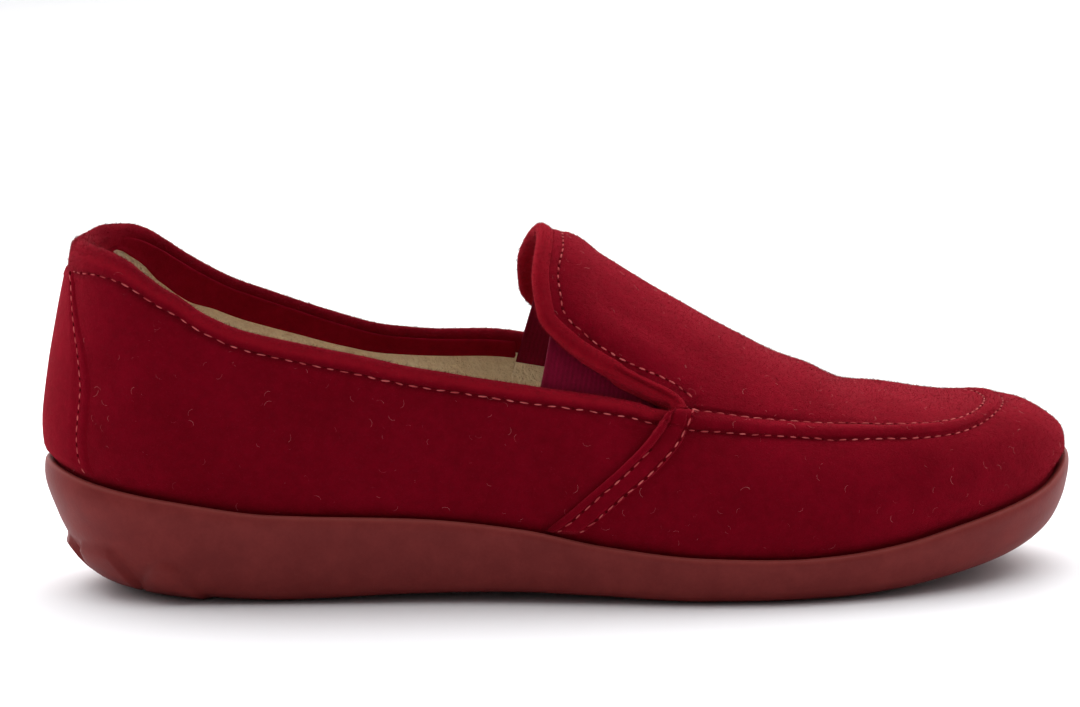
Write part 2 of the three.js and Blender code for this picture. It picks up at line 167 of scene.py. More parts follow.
def skin_point(x, sign, z, climb, share, inset):
    """The point of one side at a height, at a share of the half width of the plan."""
    wide = half_width(x, sign, inset, inset, inset) * share
    y = axis_at(x) + lean_at(x) * climb**2 + sign * wide
    return np.stack(np.broadcast_arrays(x + heel_lean(x, z), y, z), -1)


def tuck_at(x, z):
    """How far the wall turns in below its widest height, to stand inside the sole's rim."""
    low = rim_at(x) + RIM_CLEAR
    t = np.clip((z - low) / (widest_at(x) - low), 0, 1)
    return TUCK * (1 - t) ** TUCK_CURVE


# %% A point of the upper: on the side wall by its height, on the arch by its turn
def side_wall(x, sign, z, grow=0.0):
    """At a height z of one side, from the foot up to the arch."""
    climb = climb_at(x, z, grow)
    share = (1 - climb ** up_at(x)) ** (1 / across_at(x))
    return skin_point(x, sign, z, climb, share, UPPER_INSET - grow + tuck_at(x, z))


def arch(x, sign, turn, grow=0.0):
    """Over the foot: turn is 1 at the widest height and 0 on the ridge."""
    angle = turn * np.pi / 2
    climb = np.cos(angle) ** (2 / up_at(x))
    share = np.sin(angle) ** (2 / across_at(x))
    z = widest_at(x) + (ridge_at(x, grow) - widest_at(x)) * climb
    return skin_point(x, sign, z, climb, share, UPPER_INSET - grow)


def turn_at(x, z, grow=0.0):
    """The turn at which the arch has a height z."""
    return np.arccos(climb_at(x, z, grow) ** (up_at(x) / 2)) / (np.pi / 2)


print("arch at mid foot:", np.round(arch(0.0, -1, 0.0), 1), "mm")

# %% [markdown]
# ## Grids, shells and pieces
# Felt is cut from a sheet, so every felt piece starts as one curved face made of a grid of
# points. A helper then gives the face its thickness and rolls its free edges round, as the real
# edge is rounded. This is done in plain mesh code, because the outer face, the rolled edge and
# the lining then stay separate and can take their own finish.

# %% Grid faces, and welding patches together
def unit(vectors):
    """The same directions, each one unit long."""
    return vectors / np.maximum(np.linalg.norm(vectors, axis=-1, keepdims=True), 1e-12)


def mesh_of(name, points, faces):
    """A mesh of points as they are given, and faces of any number of sides."""
    mesh = bpy.data.meshes.new(name)
    mesh.from_pydata(np.asarray(points).tolist(), [], [list(map(int, f)) for f in faces])
    return mesh


def grid_faces(columns, rows, flip=False):
    c, r = np.meshgrid(np.arange(columns - 1), np.arange(rows - 1), indexing="ij")
    a = (c * rows + r).ravel()
    quads = np.stack([a, a + rows, a + rows + 1, a + 1], -1)
    return quads[:, ::-1] if flip else quads


def welded(patches, near=0.004):
    """Joins patches of points and quads where their points meet. Returns points and faces."""
    start = np.cumsum([0] + [len(points) for points, _ in patches])
    points = np.concatenate([points for points, _ in patches])
    faces = np.concatenate([faces + start[i] for i, (_, faces) in enumerate(patches)])
    mesh = mesh_of("weld", points, faces)
    work = bmesh.new()
    work.from_mesh(mesh)
    bmesh.ops.remove_doubles(work, verts=work.verts, dist=near)
    bmesh.ops.dissolve_degenerate(work, edges=work.edges, dist=near)
    joined = np.array([v.co for v in work.verts]), [[v.index for v in f.verts] for f in work.faces]
    work.free()
    bpy.data.meshes.remove(mesh)
    return joined


def normals_of(points, faces):
    """Normals of the points of a mesh, each an average over the faces round it."""
    total = np.zeros_like(points)
    for sides in {len(f) for f in faces}:
        ring = np.array([f for f in faces if len(f) == sides])
        last = ring[:, -1]
        normal = np.cross(points[ring[:, 2]] - points[ring[:, 0]], points[last] - points[ring[:, 1]])
        for k in range(sides):
            np.add.at(total, ring[:, k], normal)
    return unit(total)


# %% Give a face its thickness, with its free edges rolled round
def shell(points, faces, thick, steps=6, inner=None):
    """Points, faces, and for each face 1 where it belongs to the inner side and 0 elsewhere."""
    normals = normals_of(points, faces)
    inner = points - normals * thick if inner is None else inner
    count = len(points)
    around = {(f[k - 1], f[k]) for f in faces for k in range(len(f))}
    free = [(a, b) for a, b in around if (b, a) not in around]
    out = np.zeros_like(points)
    for a, b in free:
        away = np.cross(points[b] - points[a], normals[a] + normals[b])
        out[a] += away
        out[b] += away
    rim = np.array(sorted({a for edge in free for a in edge}))
    out = unit(out[rim])
    turns = np.pi * np.arange(1, steps) / steps
    middle = (points[rim] + inner[rim]) / 2
    half = (points[rim] - inner[rim]) / 2
    reach = np.linalg.norm(half, axis=1, keepdims=True)
    rolled = [middle + half * np.cos(t) + out * reach * np.sin(t) for t in turns]
    place = {a: i for i, a in enumerate(rim)}

    def step(a, k):
        if k == 0:
            return a
        return count + a if k == steps else 2 * count + (k - 1) * len(rim) + place[a]

    back = [[count + i for i in reversed(f)] for f in faces]
    roll = [
        [step(b, k), step(a, k), step(a, k + 1), step(b, k + 1)] for a, b in free for k in range(steps)
    ]
    inside = [0] * len(faces) + [1] * len(back) + [0] * len(roll)
    return np.concatenate([points, inner, *rolled]), [*faces, *back, *roll], inside


# %% Make an object of a mesh in millimetres
def piece(name, points, faces, materials, face_slots=None, attributes=None):
    mesh = mesh_of(name, np.asarray(points) * MM, faces)
    for material in materials:
        mesh.materials.append(material)
    mesh.polygons.foreach_set("use_smooth", [True] * len(mesh.polygons))
    if face_slots is not None:
        mesh.polygons.foreach_set("material_index", face_slots)
    for key, values in (attributes or {}).items():
        mesh.attributes.new(key, "FLOAT", "POINT").data.foreach_set("value", values)
    mesh.update()
    made = bpy.data.objects.new(name, mesh)
    bpy.context.scene.collection.objects.link(made)
    print(f"{name}: {sum(len(f) - 2 for f in faces)} triangles")
    return made


def distance_to(points, line):
    """Distance of each point to the nearest point of a line given by many points."""
    nearest = [((part[:, None] - line[None]) ** 2).sum(-1).min(1) for part in np.array_split(points, 60)]
    return np.sqrt(np.concatenate(nearest))


def bump_of(u):
    """A smooth hill: 1 at 0, and 0 from 1 on."""
    return np.clip(1 - u * u, 0, 1) ** 2


# %% [markdown]
# ## Finishes
# A material is a small sum over the surface. Numbers that vary are wrapped in a class, so that
# they can be added and multiplied as in any Python line, and each sign adds its Math node.

# %% Numbers that vary over a surface
def add_node(tree, kind, settings=None, inputs=None):
    """Adds a node with its settings. An input is linked where it is given a socket."""
    made = tree.nodes.new(kind)
    for key, value in (settings or {}).items():
        setattr(made, key, value)
    for key, value in (inputs or {}).items():
        value = value.socket if isinstance(value, Varying) else value
        if isinstance(value, bpy.types.NodeSocket):
            tree.links.new(value, made.inputs[key])
        else:
            made.inputs[key].default_value = value
    return made


def sign_of(operation, swapped=False):
    """What a sign between two numbers does: it adds a Math node."""

    def method(self, other):
        pair = (other, self) if swapped else (self, other)
        node = self.finish.node("Math", {"operation": operation}, dict(enumerate(pair)))
        return Varying(self.finish, node.outputs[0])

    return method


class Varying:
    def __init__(self, finish, socket):
        self.finish, self.socket = finish, socket

    __add__ = sign_of("ADD")
    __mul__ = __rmul__ = sign_of("MULTIPLY")
    __sub__, __rsub__ = sign_of("SUBTRACT"), sign_of("SUBTRACT", swapped=True)

    def between(self, low, high):
        """0 where it is low and 1 where it is high, smooth in between."""
        inputs = {"Value": self, "From Min": low, "From Max": high}
        node = self.finish.node("MapRange", {"interpolation_type": "SMOOTHSTEP"}, inputs)
        return Varying(self.finish, node.outputs[0])


# %% A finish: one material and its nodes
class Finish:
    def __init__(self, name):
        self.material = bpy.data.materials.new(name)
        self.material.use_nodes = True
        self.tree = self.material.node_tree
        self.tree.nodes.clear()
        self.place = self.node("TexCoord").outputs["Object"]

    def node(self, kind, settings=None, inputs=None):
        return add_node(self.tree, "ShaderNode" + kind, settings, inputs)

    def noise(self, size, detail=3.0, rough=0.6, stretch=(1, 1, 1)):
        """Soft noise, whose lumps are about size millimetres wide."""
        scaled = self.node("Mapping", inputs={"Vector": self.place, "Scale": stretch}).outputs[0]
        inputs = {"Vector": scaled, "Scale": 1 / (size * MM), "Detail": detail, "Roughness": rough}
        return Varying(self, self.node("TexNoise", inputs=inputs).outputs["Fac"])

    def attribute(self, name):
        return Varying(self, self.node("Attribute", {"attribute_name": name}).outputs["Fac"])

    def mix(self, share, first, second):
        inputs = {0: share, 6: first, 7: second}
        return self.node("Mix", {"data_type": "RGBA", "clamp_factor": True}, inputs).outputs[2]

    def relief(self, height, depth):
        """A normal from a height between 0 and 1, of a depth in millimetres."""
        inputs = {"Height": height, "Distance": depth * MM, "Strength": 1.0}
        return self.node("Bump", inputs=inputs).outputs[0]

    def surface(self, **sockets):
        shader = self.node("BsdfPrincipled", inputs={k.replace("_", " "): v for k, v in sockets.items()})
        self.node("OutputMaterial", inputs={"Surface": shader.outputs[0]})
        return self.material


# %% [markdown]
# ### Wool felt
# Pressed wool has no weave. Seen close it is a mat of short fibres lying every way, so its
# colour wanders a little, and light gathers on the nap where it is seen edge on. Cut or folded
# edges are painted lighter and more orange, partly for their standing fibres and partly as a
# painted highlight. The attribute "edge" says how far a point is from such an edge, and a
# second attribute is up to 1 along rows of stitches and folds, where painted shade darkens the
# dips.

# %% Felt
def felt_finish(name, deep, bright):
    felt = Finish(name)
    cloud = felt.noise(26, 2)
    mat = felt.noise(2.6, 4, 0.7)
    lying = felt.noise(0.55, 3, 0.75, (1, 1, 3.5)) * 0.5
    strands = lying + felt.noise(0.6, 3, 0.75, (3.2, 1, 1)) * 0.5
    tone = cloud * 0.35 + mat * 0.35 + strands * 0.45
    colour = felt.mix(tone.between(0.38, 0.8), deep, bright)
    ragged = felt.noise(1.4, 3, 0.7) * 1.1 - 0.55
    # Lighter, more orange colour near cut and folded edges: partly standing fibres, partly a painted
    # highlight.
    edge_fibres_and_highlight = 1 - (felt.attribute("edge") + ragged).between(*RIM_REACH)
    colour = felt.mix(edge_fibres_and_highlight * 0.6, colour, RED_EDGE_FIBRES_AND_HIGHLIGHT)
    # Painted shade: a darker colour where stitches and folds dip into the felt.
    colour = felt.mix(felt.attribute("painted_stitch_fold_shade") * 0.75, colour, RED_PAINTED_SHADE)
    height = strands * 0.6 + mat * 0.4
    return felt.surface(
        Base_Color=colour,
        Roughness=strands * 0.16 + 0.82,
        Normal=felt.relief(height, 0.75),
        Sheen_Weight=0.38,
        Sheen_Roughness=0.4,
        Sheen_Tint=(1.0, 0.06, 0.1, 1),
        Specular_IOR_Level=0.02,
    )


# The first colour is painted shade for the dips at stitches and folds; the second is the lighter edge
# colour, partly standing fibres and partly a painted highlight.
RED_PAINTED_SHADE, RED_EDGE_FIBRES_AND_HIGHLIGHT = (0.045, 0.0002, 0.0018, 1), (0.33, 0.007, 0.017, 1)
RIM_REACH = (0.3, 1.9)
felt_red = felt_finish("wool_felt", (0.132, 0.0004, 0.005, 1), (0.228, 0.0016, 0.0115, 1))
felt_roll = felt_finish("rolled_felt", (0.18, 0.0015, 0.0075, 1), (0.28, 0.004, 0.013, 1))
print("felt:", len(felt_red.node_tree.nodes), "nodes")

# %% [markdown]
# ### Fleece, elastic, rubber and thread
# The sock and lining are a cream pile, so their noise is coarser and their bump deeper. The
# elastic is a dark magenta knit whose ribs are real geometry, with a fine knit in its bump. The
# sole is a matt moulded rubber with a faint mottle, and a paler band along the top of its rim
# is a painted highlight.

# %% Fleece, elastic, rubber, thread and fibres
fleece = Finish("cream_fleece")
pile = fleece.noise(1.5, 4, 0.7)
patches = fleece.noise(14, 3)
tone = pile * 0.6 + patches * 0.5
colour = fleece.mix(tone.between(0.36, 0.74), (0.8, 0.65, 0.45, 1), (0.98, 0.86, 0.65, 1))
fleece_cream = fleece.surface(
    Base_Color=colour,
    Roughness=pile * 0.1 + 0.88,
    Normal=fleece.relief(pile, 1.6),
    Sheen_Weight=0.5,
    Specular_IOR_Level=0.1,
)

elastic = Finish("ribbed_elastic")
knit = elastic.noise(0.5, 2, 0.6, (1, 1, 0.4))
patches = elastic.noise(9, 3)
rib = elastic.attribute("rib")
tone = (knit * 0.5 + patches * 0.5) * 0.85 + rib * 0.15
colour = elastic.mix(tone.between(0.25, 0.8), (0.1, 0.0012, 0.011, 1), (0.19, 0.0022, 0.022, 1))
elastic_magenta = elastic.surface(
    Base_Color=colour,
    Roughness=knit * 0.2 + 0.6,
    Normal=elastic.relief(knit, 0.25),
    Sheen_Weight=0.1,
    Sheen_Tint=(1.0, 0.1, 0.3, 1),
    Specular_IOR_Level=0.05,
)

rubber = Finish("brick_rubber")
mottle = rubber.noise(7, 5, 0.65)
speck = rubber.noise(0.7, 2, 0.5)
scuff = rubber.noise(3.5, 4, 0.7, (1, 1, 3)).between(0.62, 0.78)
tone = mottle * 0.8 + speck * 0.2
colour = rubber.mix(tone.between(0.3, 0.75), (0.155, 0.017, 0.0165, 1), (0.2, 0.026, 0.024, 1))
colour = rubber.mix(scuff * 0.14, colour, (0.3, 0.08, 0.065, 1))
# Painted highlight: a paler colour along the top edge of the sole's rim.
rim_highlight = 1 - rubber.attribute("edge").between(0.3, 1.6)
colour = rubber.mix(rim_highlight * 0.5, colour, (0.3, 0.06, 0.05, 1))
rubber_brick = rubber.surface(
    Base_Color=colour,
    Roughness=mottle * 0.16 + speck * 0.08 + scuff * 0.1 + 0.38,
    Normal=rubber.relief(mottle * 0.3 + speck * 0.5, 0.1),
    Specular_IOR_Level=0.1,
)


def plain_finish(name, first, second, size, roughness, sheen):
    """A finish for what is too small to show a pattern: two tones in soft patches."""
    small = Finish(name)
    patches = small.noise(size, 2)
    return small.surface(
        Base_Color=small.mix(patches.between(0.35, 0.65), first, second),
        Roughness=patches * 0.1 + roughness - 0.05,
        Sheen_Weight=sheen,
        Specular_IOR_Level=0.03,
    )


thread_rose = plain_finish("rose_thread", (0.4, 0.045, 0.05, 1), (0.6, 0.12, 0.12, 1), 5, 0.7, 0.05)
# Painted shade: the dark colour of the grains that sit in the dips between stitches.
hole_shade = plain_finish("painted_hole_shade", (0.075, 0.0006, 0.003, 1), (0.11, 0.001, 0.005, 1), 4, 0.95, 0.0)
fibre_red = plain_finish("felt_fibre", (0.13, 0.0008, 0.006, 1), (0.26, 0.004, 0.014, 1), 3, 0.85, 0.05)
lint_pale = plain_finish("pale_lint", (0.4, 0.05, 0.06, 1), (0.65, 0.25, 0.24, 1), 4, 0.85, 0.05)

# %% [markdown]
# ## The upper
# The real upper is cut as quarters, vamp and apron, and sewn together on the last. Its skin here
# is one continuous face in three patches that meet at the front of the gores: the quarters from
# there round the heel, the whole front of the shoe, and the free flap of the apron. The rows of
# the quarters end on the topline and the same row runs on as the moccasin seam, so the grid
# follows what the shoe is cut along.

# %% Topline, seam and flap edge
TOP_EDGE = table(
    x=(-150, -119, -114, -109, -105.4, -99.5, -96.3, -90.3, -82.1, -73.7, -66.6, -54.6, -42.6,
        -30.5, -18.4, -9.9, 1, 12.8, 22, 26.5, 32, 40, 50, 60, 70, 80, 86, 92, 98, 103, 108.3, 130),
    lateral=(84.7, 84.7, 84.1, 82.6, 80.4, 76.6, 75, 70.9, 67.1, 64.8, 63.2, 60.7, 57.9, 55.8, 53.9,
        52.7, 51.2, 49.1, 45.4, 44.2, 43.4, 42.3, 41.2, 40.2, 39.3, 38.5, 38.35, 38.5, 39.1, 39.9,
        40.65, 41.5),
    medial=(84.7, 84.9, 86.3, 86.2, 85.4, 82.3, 80.1, 76.2, 71.9, 68.7, 66.2, 62.1, 59.1, 58.2,
        57.9, 57, 53.7, 49.8, 45.8, 44.5, 43.7, 42.6, 41.4, 40.4, 39.5, 38.7, 38.4, 38.5, 39.1,
        39.9, 40.65, 41.5),
)
FLAP_EDGE = table(
    z=(45.4, 47.6, 51.4, 55.8, 61.3, 68.5, 76, 92),
    x=(22, 20.5, 14, 5.1, -3.5, -9.7, -10.4, -4.9),
)
CORNER_X = 22.0
ROLL_EXTRA, ROLL_REACH, FLAP_TURN_IN = 1.1, 2.0, 1.9
top_edge = {side: curve(TOP_EDGE, side) for side in ("lateral", "medial")}
flap_edge_x = curve(FLAP_EDGE, "x", "z")


def top_at(x, sign):
    return np.where(sign < 0, top_edge["lateral"](x), top_edge["medial"](x))


def cut_at(x, sign):
    """The height of the felt's last row, which leaves room for the rolled rim above it."""
    return top_at(x, sign) - ROLL_REACH * np.clip((CORNER_X - x) / 6, 0, 1)


def top_turn(x, sign):
    """The turn of the arch at which the wall's top edge lies."""
    z = cut_at(x, sign)
    for _ in range(4):
        z = cut_at(x + heel_lean(x, z), sign)
    return turn_at(x, z)


# %% Rows of one side: from the foot to the widest height, then up to the top edge
LOW_ROWS = np.linspace(0, 1, 10)
HIGH_ROWS = np.concatenate(
    [np.linspace(0, 0.76, 12), np.linspace(0.76, 0.9, 5)[1:], np.linspace(0.9, 1, 14)[1:]]
)
ARCH_ROWS = np.concatenate([np.linspace(0, 0.1, 12), np.linspace(0.1, 1, 20)[1:]])
LEAST_TURN = 0.06


def wall_rows(s, sign):
    """Points of the stations s of one side, row by row from the foot to the top edge."""
    x = station_x(s, UPPER_INSET, UPPER_INSET)[:, None]
    foot = floor_at(x) + GAP
    z = foot + (widest_at(x) - foot) * LOW_ROWS[None]
    tuck = tuck_at(x, z) + UPPER_INSET
    low = side_wall(station_x(s[:, None], tuck, tuck), sign, z)
    end = np.maximum(top_turn(x, sign), LEAST_TURN)
    high = arch(x, sign, 1 - (1 - end) * HIGH_ROWS[None, 1:])
    return np.concatenate([low, high], 1)


def arch_rows(s, sign):
    """The rows above those, from the moccasin seam to the ridge."""
    x = station_x(s, UPPER_INSET, UPPER_INSET)[:, None]
    end = np.maximum(top_turn(x, sign), LEAST_TURN)
    return arch(x, sign, end * (1 - ARCH_ROWS[None]))


# %% The three patches
corner_s = station_of(CORNER_X, UPPER_INSET)
quarter_s = np.linspace(corner_s, 0, 150)
front_s = np.linspace(corner_s, 1, 165)
quarter_grid = np.concatenate([wall_rows(quarter_s, -1), wall_rows(quarter_s[::-1], 1)[1:]])
front_grid = np.concatenate(
    [
        wall_rows(front_s, -1),
        arch_rows(front_s, -1)[:, 1:],
        arch_rows(front_s, 1)[:, -2::-1],
        wall_rows(front_s, 1)[:, -2::-1],
    ],
    1,
)


def flap_edge_at(turn, sign):
    """x at which the flap's free edge crosses a line of equal turn."""
    low, high = np.full_like(turn, -14.0), np.full_like(turn, CORNER_X)
    for _ in range(40):
        middle = (low + high) / 2
        past = middle > flap_edge_x(arch(middle, sign, turn)[..., 2])
        low, high = np.where(past, low, middle), np.where(past, middle, high)
    return low


def flap_rows(sign):
    turn = top_turn(np.array(CORNER_X), sign) * (1 - ARCH_ROWS)
    edge = flap_edge_at(turn, sign)
    across = np.linalg.norm(np.gradient(arch(edge, sign, turn)[:, 1:], axis=0), axis=1)
    slope = np.gradient(edge) / across
    edge = np.minimum(edge + FLAP_TURN_IN * np.sqrt(1 + slope**2), CORNER_X - 0.02)
    share = np.linspace(0, 1, 40)[:, None] ** 1.2
    return arch(edge + (CORNER_X - edge) * share, sign, turn[None])


flap_grid = np.concatenate([flap_rows(-1), flap_rows(1)[:, -2::-1]], 1)
patches = [
    (quarter_grid.reshape(-1, 3), grid_faces(*quarter_grid.shape[:2], flip=True)),
    (front_grid.reshape(-1, 3), grid_faces(*front_grid.shape[:2])),
    (flap_grid.reshape(-1, 3), grid_faces(*flap_grid.shape[:2])),
]
skin_points, skin_faces = welded(patches)
print("skin of the upper:", len(skin_points), "points")

# %% [markdown]
# ### Finding the felt's face again
# Strips, stitches and fibres are laid on this face. A search tree finds the nearest place on it
# and the direction it faces there, so that whatever is sewn on lies on the felt from any side.

# %% Nearest place on the felt
def tree_of(points, faces):
    return BVHTree.FromPolygons([Vector(p) for p in points], faces)


def laid_on(tree, points):
    """The nearest places on a surface, and the way it faces there."""
    found = [tree.find_nearest(Vector(p)) for p in points]
    return np.array([f[0] for f in found]), np.array([f[1] for f in found])


def evened(line, times):
    """Draws every point of a line towards its neighbours, but not the two ends."""
    for _ in range(times):
        line = line.copy()
        line[1:-1] = (line[:-2] + 2 * line[1:-1] + line[2:]) / 4
    return line


def smoothed(directions, times=4):
    """Evens out the directions along a line, and makes them one unit long again."""
    return unit(evened(directions, times))


def along_line(line):
    """Tangent of a line at each point."""
    return smoothed(np.gradient(line, axis=0))


def beside(line, tree, distance):
    """A line on a surface, at a distance to the right of another as seen from outside."""
    place, facing = laid_on(tree, line)
    sideways = np.cross(along_line(place), smoothed(facing))
    return laid_on(tree, place + smoothed(sideways) * distance)[0]


# %% [markdown]
# ### Seam, hem and creases
# Sewing shapes felt: the moccasin seam pinches a raised welt, the turned hem of the topline is
# double and puffs up above its stitches, and each row of stitches sinks in. The larger creases
# are placed as soft troughs and ridges where the foot bends the shoe.

# %% The lines that the upper is sewn along
def seam_line(count=170):
    """The moccasin seam, from the outer corner round the toe to the inner corner."""
    scan = np.linspace(96, 126, 3000)
    end = scan[np.argmax(ridge_at(scan, 0) < top_at(scan, -1))]
    x = CORNER_X + 1.5 + (end - CORNER_X - 1.5) * np.sin(np.pi / 2 * np.linspace(0, 1, count))
    outer, inner = (arch(x, sign, turn_at(x, top_at(x, sign))) for sign in (-1, 1))
    return np.concatenate([outer, inner[-2::-1]])


def run_of(line):
    """The way from a line's first point to each of its points."""
    return np.concatenate([[0], np.cumsum(np.linalg.norm(np.diff(line, axis=0), axis=1))])


def even_steps(line, step):
    """The line with its points a given step apart."""
    run = run_of(line)
    marks = np.linspace(0, run[-1], max(int(round(run[-1] / step)), 2) + 1)
    return np.stack([np.interp(marks, run, line[:, k]) for k in range(3)], -1)


def flap_line(count=300):
    """The free edge of the flap, from the outer corner over the ridge to the inner corner."""
    share = np.linspace(0, 1, count)
    sides = []
    for sign in (-1, 1):
        turn = top_turn(np.array(CORNER_X), sign) * (1 - share)
        sides.append(arch(flap_edge_at(turn, sign), sign, turn))
    return np.concatenate([sides[0], sides[1][-2::-1]])


LINE_STEP = 0.8
moc_seam = even_steps(seam_line(), LINE_STEP)
topline = even_steps(quarter_grid[:, -1], LINE_STEP)
flap_rim = even_steps(flap_line(), LINE_STEP)
long_seam, long_top = (round(len(line) * LINE_STEP) for line in (moc_seam, topline))
print("moccasin seam:", long_seam, "mm; topline:", long_top, "mm")

# %% Rows of stitches, hem, toe and creases
MOC_ROWS = table(
    x=(26, 45, 60, 78, 88, 98, 130),
    above=(3.1, 3.3, 3.4, 3, 2.3, 2.2, 2.5),
    below=(2.7, 2.4, 2.7, 2.5, 2.3, 2.1, 2.5),
)
moc_above, moc_below = curve(MOC_ROWS, "above"), curve(MOC_ROWS, "below")
FLAP_SEWN = table(
    z=(42, 45, 48, 52, 57, 77, 88),
    deep=(4.9, 5.1, 5.4, 4.7, 4.3, 4.3, 4.5),
)
flap_sewn_at = curve(FLAP_SEWN, "deep", "z")
bare_tree = tree_of(skin_points, skin_faces)
moc_off = [-moc_above(moc_seam[:, :1]), moc_below(moc_seam[:, :1])]
moc_rows = [beside(moc_seam, bare_tree, off) for off in moc_off]
flap_row = beside(flap_rim, bare_tree, flap_sewn_at(flap_rim[:, 2:]))
both_moc_rows = np.concatenate(moc_rows)
HEM = table(
    x=(-121, -112, -104, 30),
    deep=(4.6, 3.4, 2.6, 2.6),
)
hem_at = curve(HEM, "deep")
TOE_LIFT = table(
    x=(22, 48, 70, 84, 98, 108, 117, 123, 128),
    up=(0, -0.5, 0, 0.8, 0.5, 1, 1.1, 0.5, 0),
)
toe_lift_at = curve(TOE_LIFT, "up")
CREASES = (
    ((-8, -37, 33), (-0.62, 0, -0.78), 12, 3.2, 0.5),
    ((-34, -33, 42), (0.96, 0, -0.28), 22, 5, 0.35),
    ((-72, -32, 40), (0.5, 0, 0.86), 15, 6, 0.35),
    ((46, -46, 30), (0.9, 0, -0.42), 17, 5, 0.4),
    ((84, -44, 30), (0.95, 0, 0.3), 20, 5, 0.3),
    ((71, 3, 46), (0.12, 0.99, 0), 27, 5, 0.5),
    ((61, 3, 50), (0, 1, 0), 24, 4.5, -0.35),
    ((24, -22, 60), (0.7, 0, -0.7), 14, 6, 0.3),
    ((-18, 31, 40), (0.8, 0, -0.6), 18, 4, 0.4),
    ((40, 42, 32), (0.8, 0, -0.6), 18, 5, 0.4),
)
print("moccasin seam: stitches", len(moc_rows), "rows; creases:", len(CREASES))


# %% Relief of the skin
def crease_relief(points):
    """A crease has a middle, a direction, and how long, wide and deep it is."""
    total = np.zeros(len(points))
    for middle, way, long, wide, deep in CREASES:
        off = points - middle
        along = off @ (np.array(way, float) / np.linalg.norm(way))
        aside = np.sqrt(np.maximum((off**2).sum(1) - along**2, 0))
        total -= deep * np.exp(-((along / long) ** 2) - (aside / wide) ** 2)
    return total


def uneven(points, size, seed):
    """Soft lumps of about that size, between -1 and 1, the same in every run."""
    turns = np.random.default_rng(seed).normal(size=(14, 3))
    turns *= 2.6 / size / np.linalg.norm(turns, axis=1, keepdims=True)
    shift = np.arange(14) * 1.7
    return np.sin(points @ turns.T + shift).sum(1) / 6


WELT_HIGH, WELT_HALF, WELT_FADE = 1.1, 3.5, 0.85
STITCH_DEEP, STITCH_HALF, HEM_HIGH = 0.45, 0.9, 0.4
FLAP_HIGH, FLAP_HALF, FLAP_STITCH_DEEP, HEEL_PROUD = 1.3, 9, 0.5, 1.7


def sewn_relief(points):
    """The raised seam, the sunk rows of stitches, the puffed hem and flap, the lift at the toe."""
    seam = distance_to(points, moc_seam)
    inner_side = np.clip((points[:, 1] - axis_at(points[:, 0]) - 2) / 12, 0, 1)
    inner_toe = inner_side * np.clip((points[:, 0] - 70) / 16, 0, 1)
    total = WELT_HIGH * bump_of(seam / WELT_HALF) * (1 - WELT_FADE * inner_toe)
    total -= STITCH_DEEP * bump_of(distance_to(points, both_moc_rows) / STITCH_HALF)
    hem = distance_to(points, topline) - hem_at(points[:, 0])
    total += HEM_HIGH * np.clip((2.0 - hem) / 0.9, 0, 1) - STITCH_DEEP * bump_of(hem / STITCH_HALF)
    flap = distance_to(points, flap_rim)
    puff = bump_of((flap - FLAP_HALF) / FLAP_HALF)
    total += FLAP_HIGH * puff * np.clip((points[:, 2] - 52) / 10, 0, 1)
    total += toe_lift_at(points[:, 0]) * np.clip((points[:, 2] - 33) / 6, 0, 1)
    total -= FLAP_STITCH_DEEP * bump_of(distance_to(points, flap_row))
    return total


def heel_bulge(points, normals):
    """The back of the heel stands out over the sole's rim."""
    backward = np.clip(-normals[:, 0], 0, 1) ** 1.5 * (points[:, 0] < -95)
    above = np.clip((points[:, 2] - rim_at(points[:, 0])) / 2.4, 0, 1)
    return HEEL_PROUD * backward * above * (1 - 0.45 * np.clip((points[:, 2] - 58) / 20, 0, 1))


SKIN_LUMPS = ((0.13, 7, 3), (0.25, 24, 4))
skin_normals = normals_of(skin_points, skin_faces)
raised = sewn_relief(skin_points) + crease_relief(skin_points)
raised += heel_bulge(skin_points, skin_normals)
raised += sum(high * uneven(skin_points, size, seed) for high, size, seed in SKIN_LUMPS)
inside_cup = skin_points[:, 2] < rim_at(skin_points[:, 0]) + 0.3
raised = np.where(inside_cup, 0, raised)
sewn_points = skin_points + skin_normals * raised[:, None]
print("relief of the skin:", np.round([raised.min(), raised.max()], 2), "mm")

# %% The felt upper with its fleece lining
STRIP = table(
    z=(10, 12, 20, 27, 34, 40, 45, 47.4),
    back=(-17.4, -15, -6.6, 0.8, 8.5, 14.6, 18.8, 20.7),
    front=(-8.7, -6.3, 2.5, 9.9, 18, 23.3, 26.1, 26.9),
)
strip_back, strip_front = curve(STRIP, "back", "z"), curve(STRIP, "front", "z")
to_topline = distance_to(skin_points, topline)
rolled = np.clip((3.4 - to_topline) / 1.4, 0, 1) * np.clip((CORNER_X - skin_points[:, 0]) / 9, 0, 1)
puffed = np.clip((-100 - skin_points[:, 0]) / 14, 0, 1)
lining_points = skin_points - skin_normals * (WALL + rolled * (ROLL_EXTRA + puffed))[:, None]
upper_points, upper_faces, upper_inside = shell(sewn_points, skin_faces, WALL, inner=lining_points)
edges = np.concatenate([topline, flap_rim])
face_deep = np.array([to_topline[list(face)].mean() for face in skin_faces])
face_x = np.array([skin_points[list(face), 0].mean() for face in skin_faces])
near_roll = face_deep < 3.8 + 2.5 * np.clip((-114 - face_x) / 3, 0, 1)
upper_inside = np.array(upper_inside)
upper_inside[len(skin_faces) : 2 * len(skin_faces)][near_roll] = 0
seam_off = distance_to(upper_points, both_moc_rows)
hem_off = np.abs(distance_to(upper_points, topline) - hem_at(upper_points[:, 0]))
flap_off = distance_to(upper_points, flap_row)
fold_z = np.linspace(11, 46, 60)
folds = [side_wall(strip_back(fold_z), sign, fold_z, 1.0) for sign in (-1, 1)]
fold_off = distance_to(upper_points, np.concatenate([even_steps(fold, LINE_STEP) for fold in folds]))
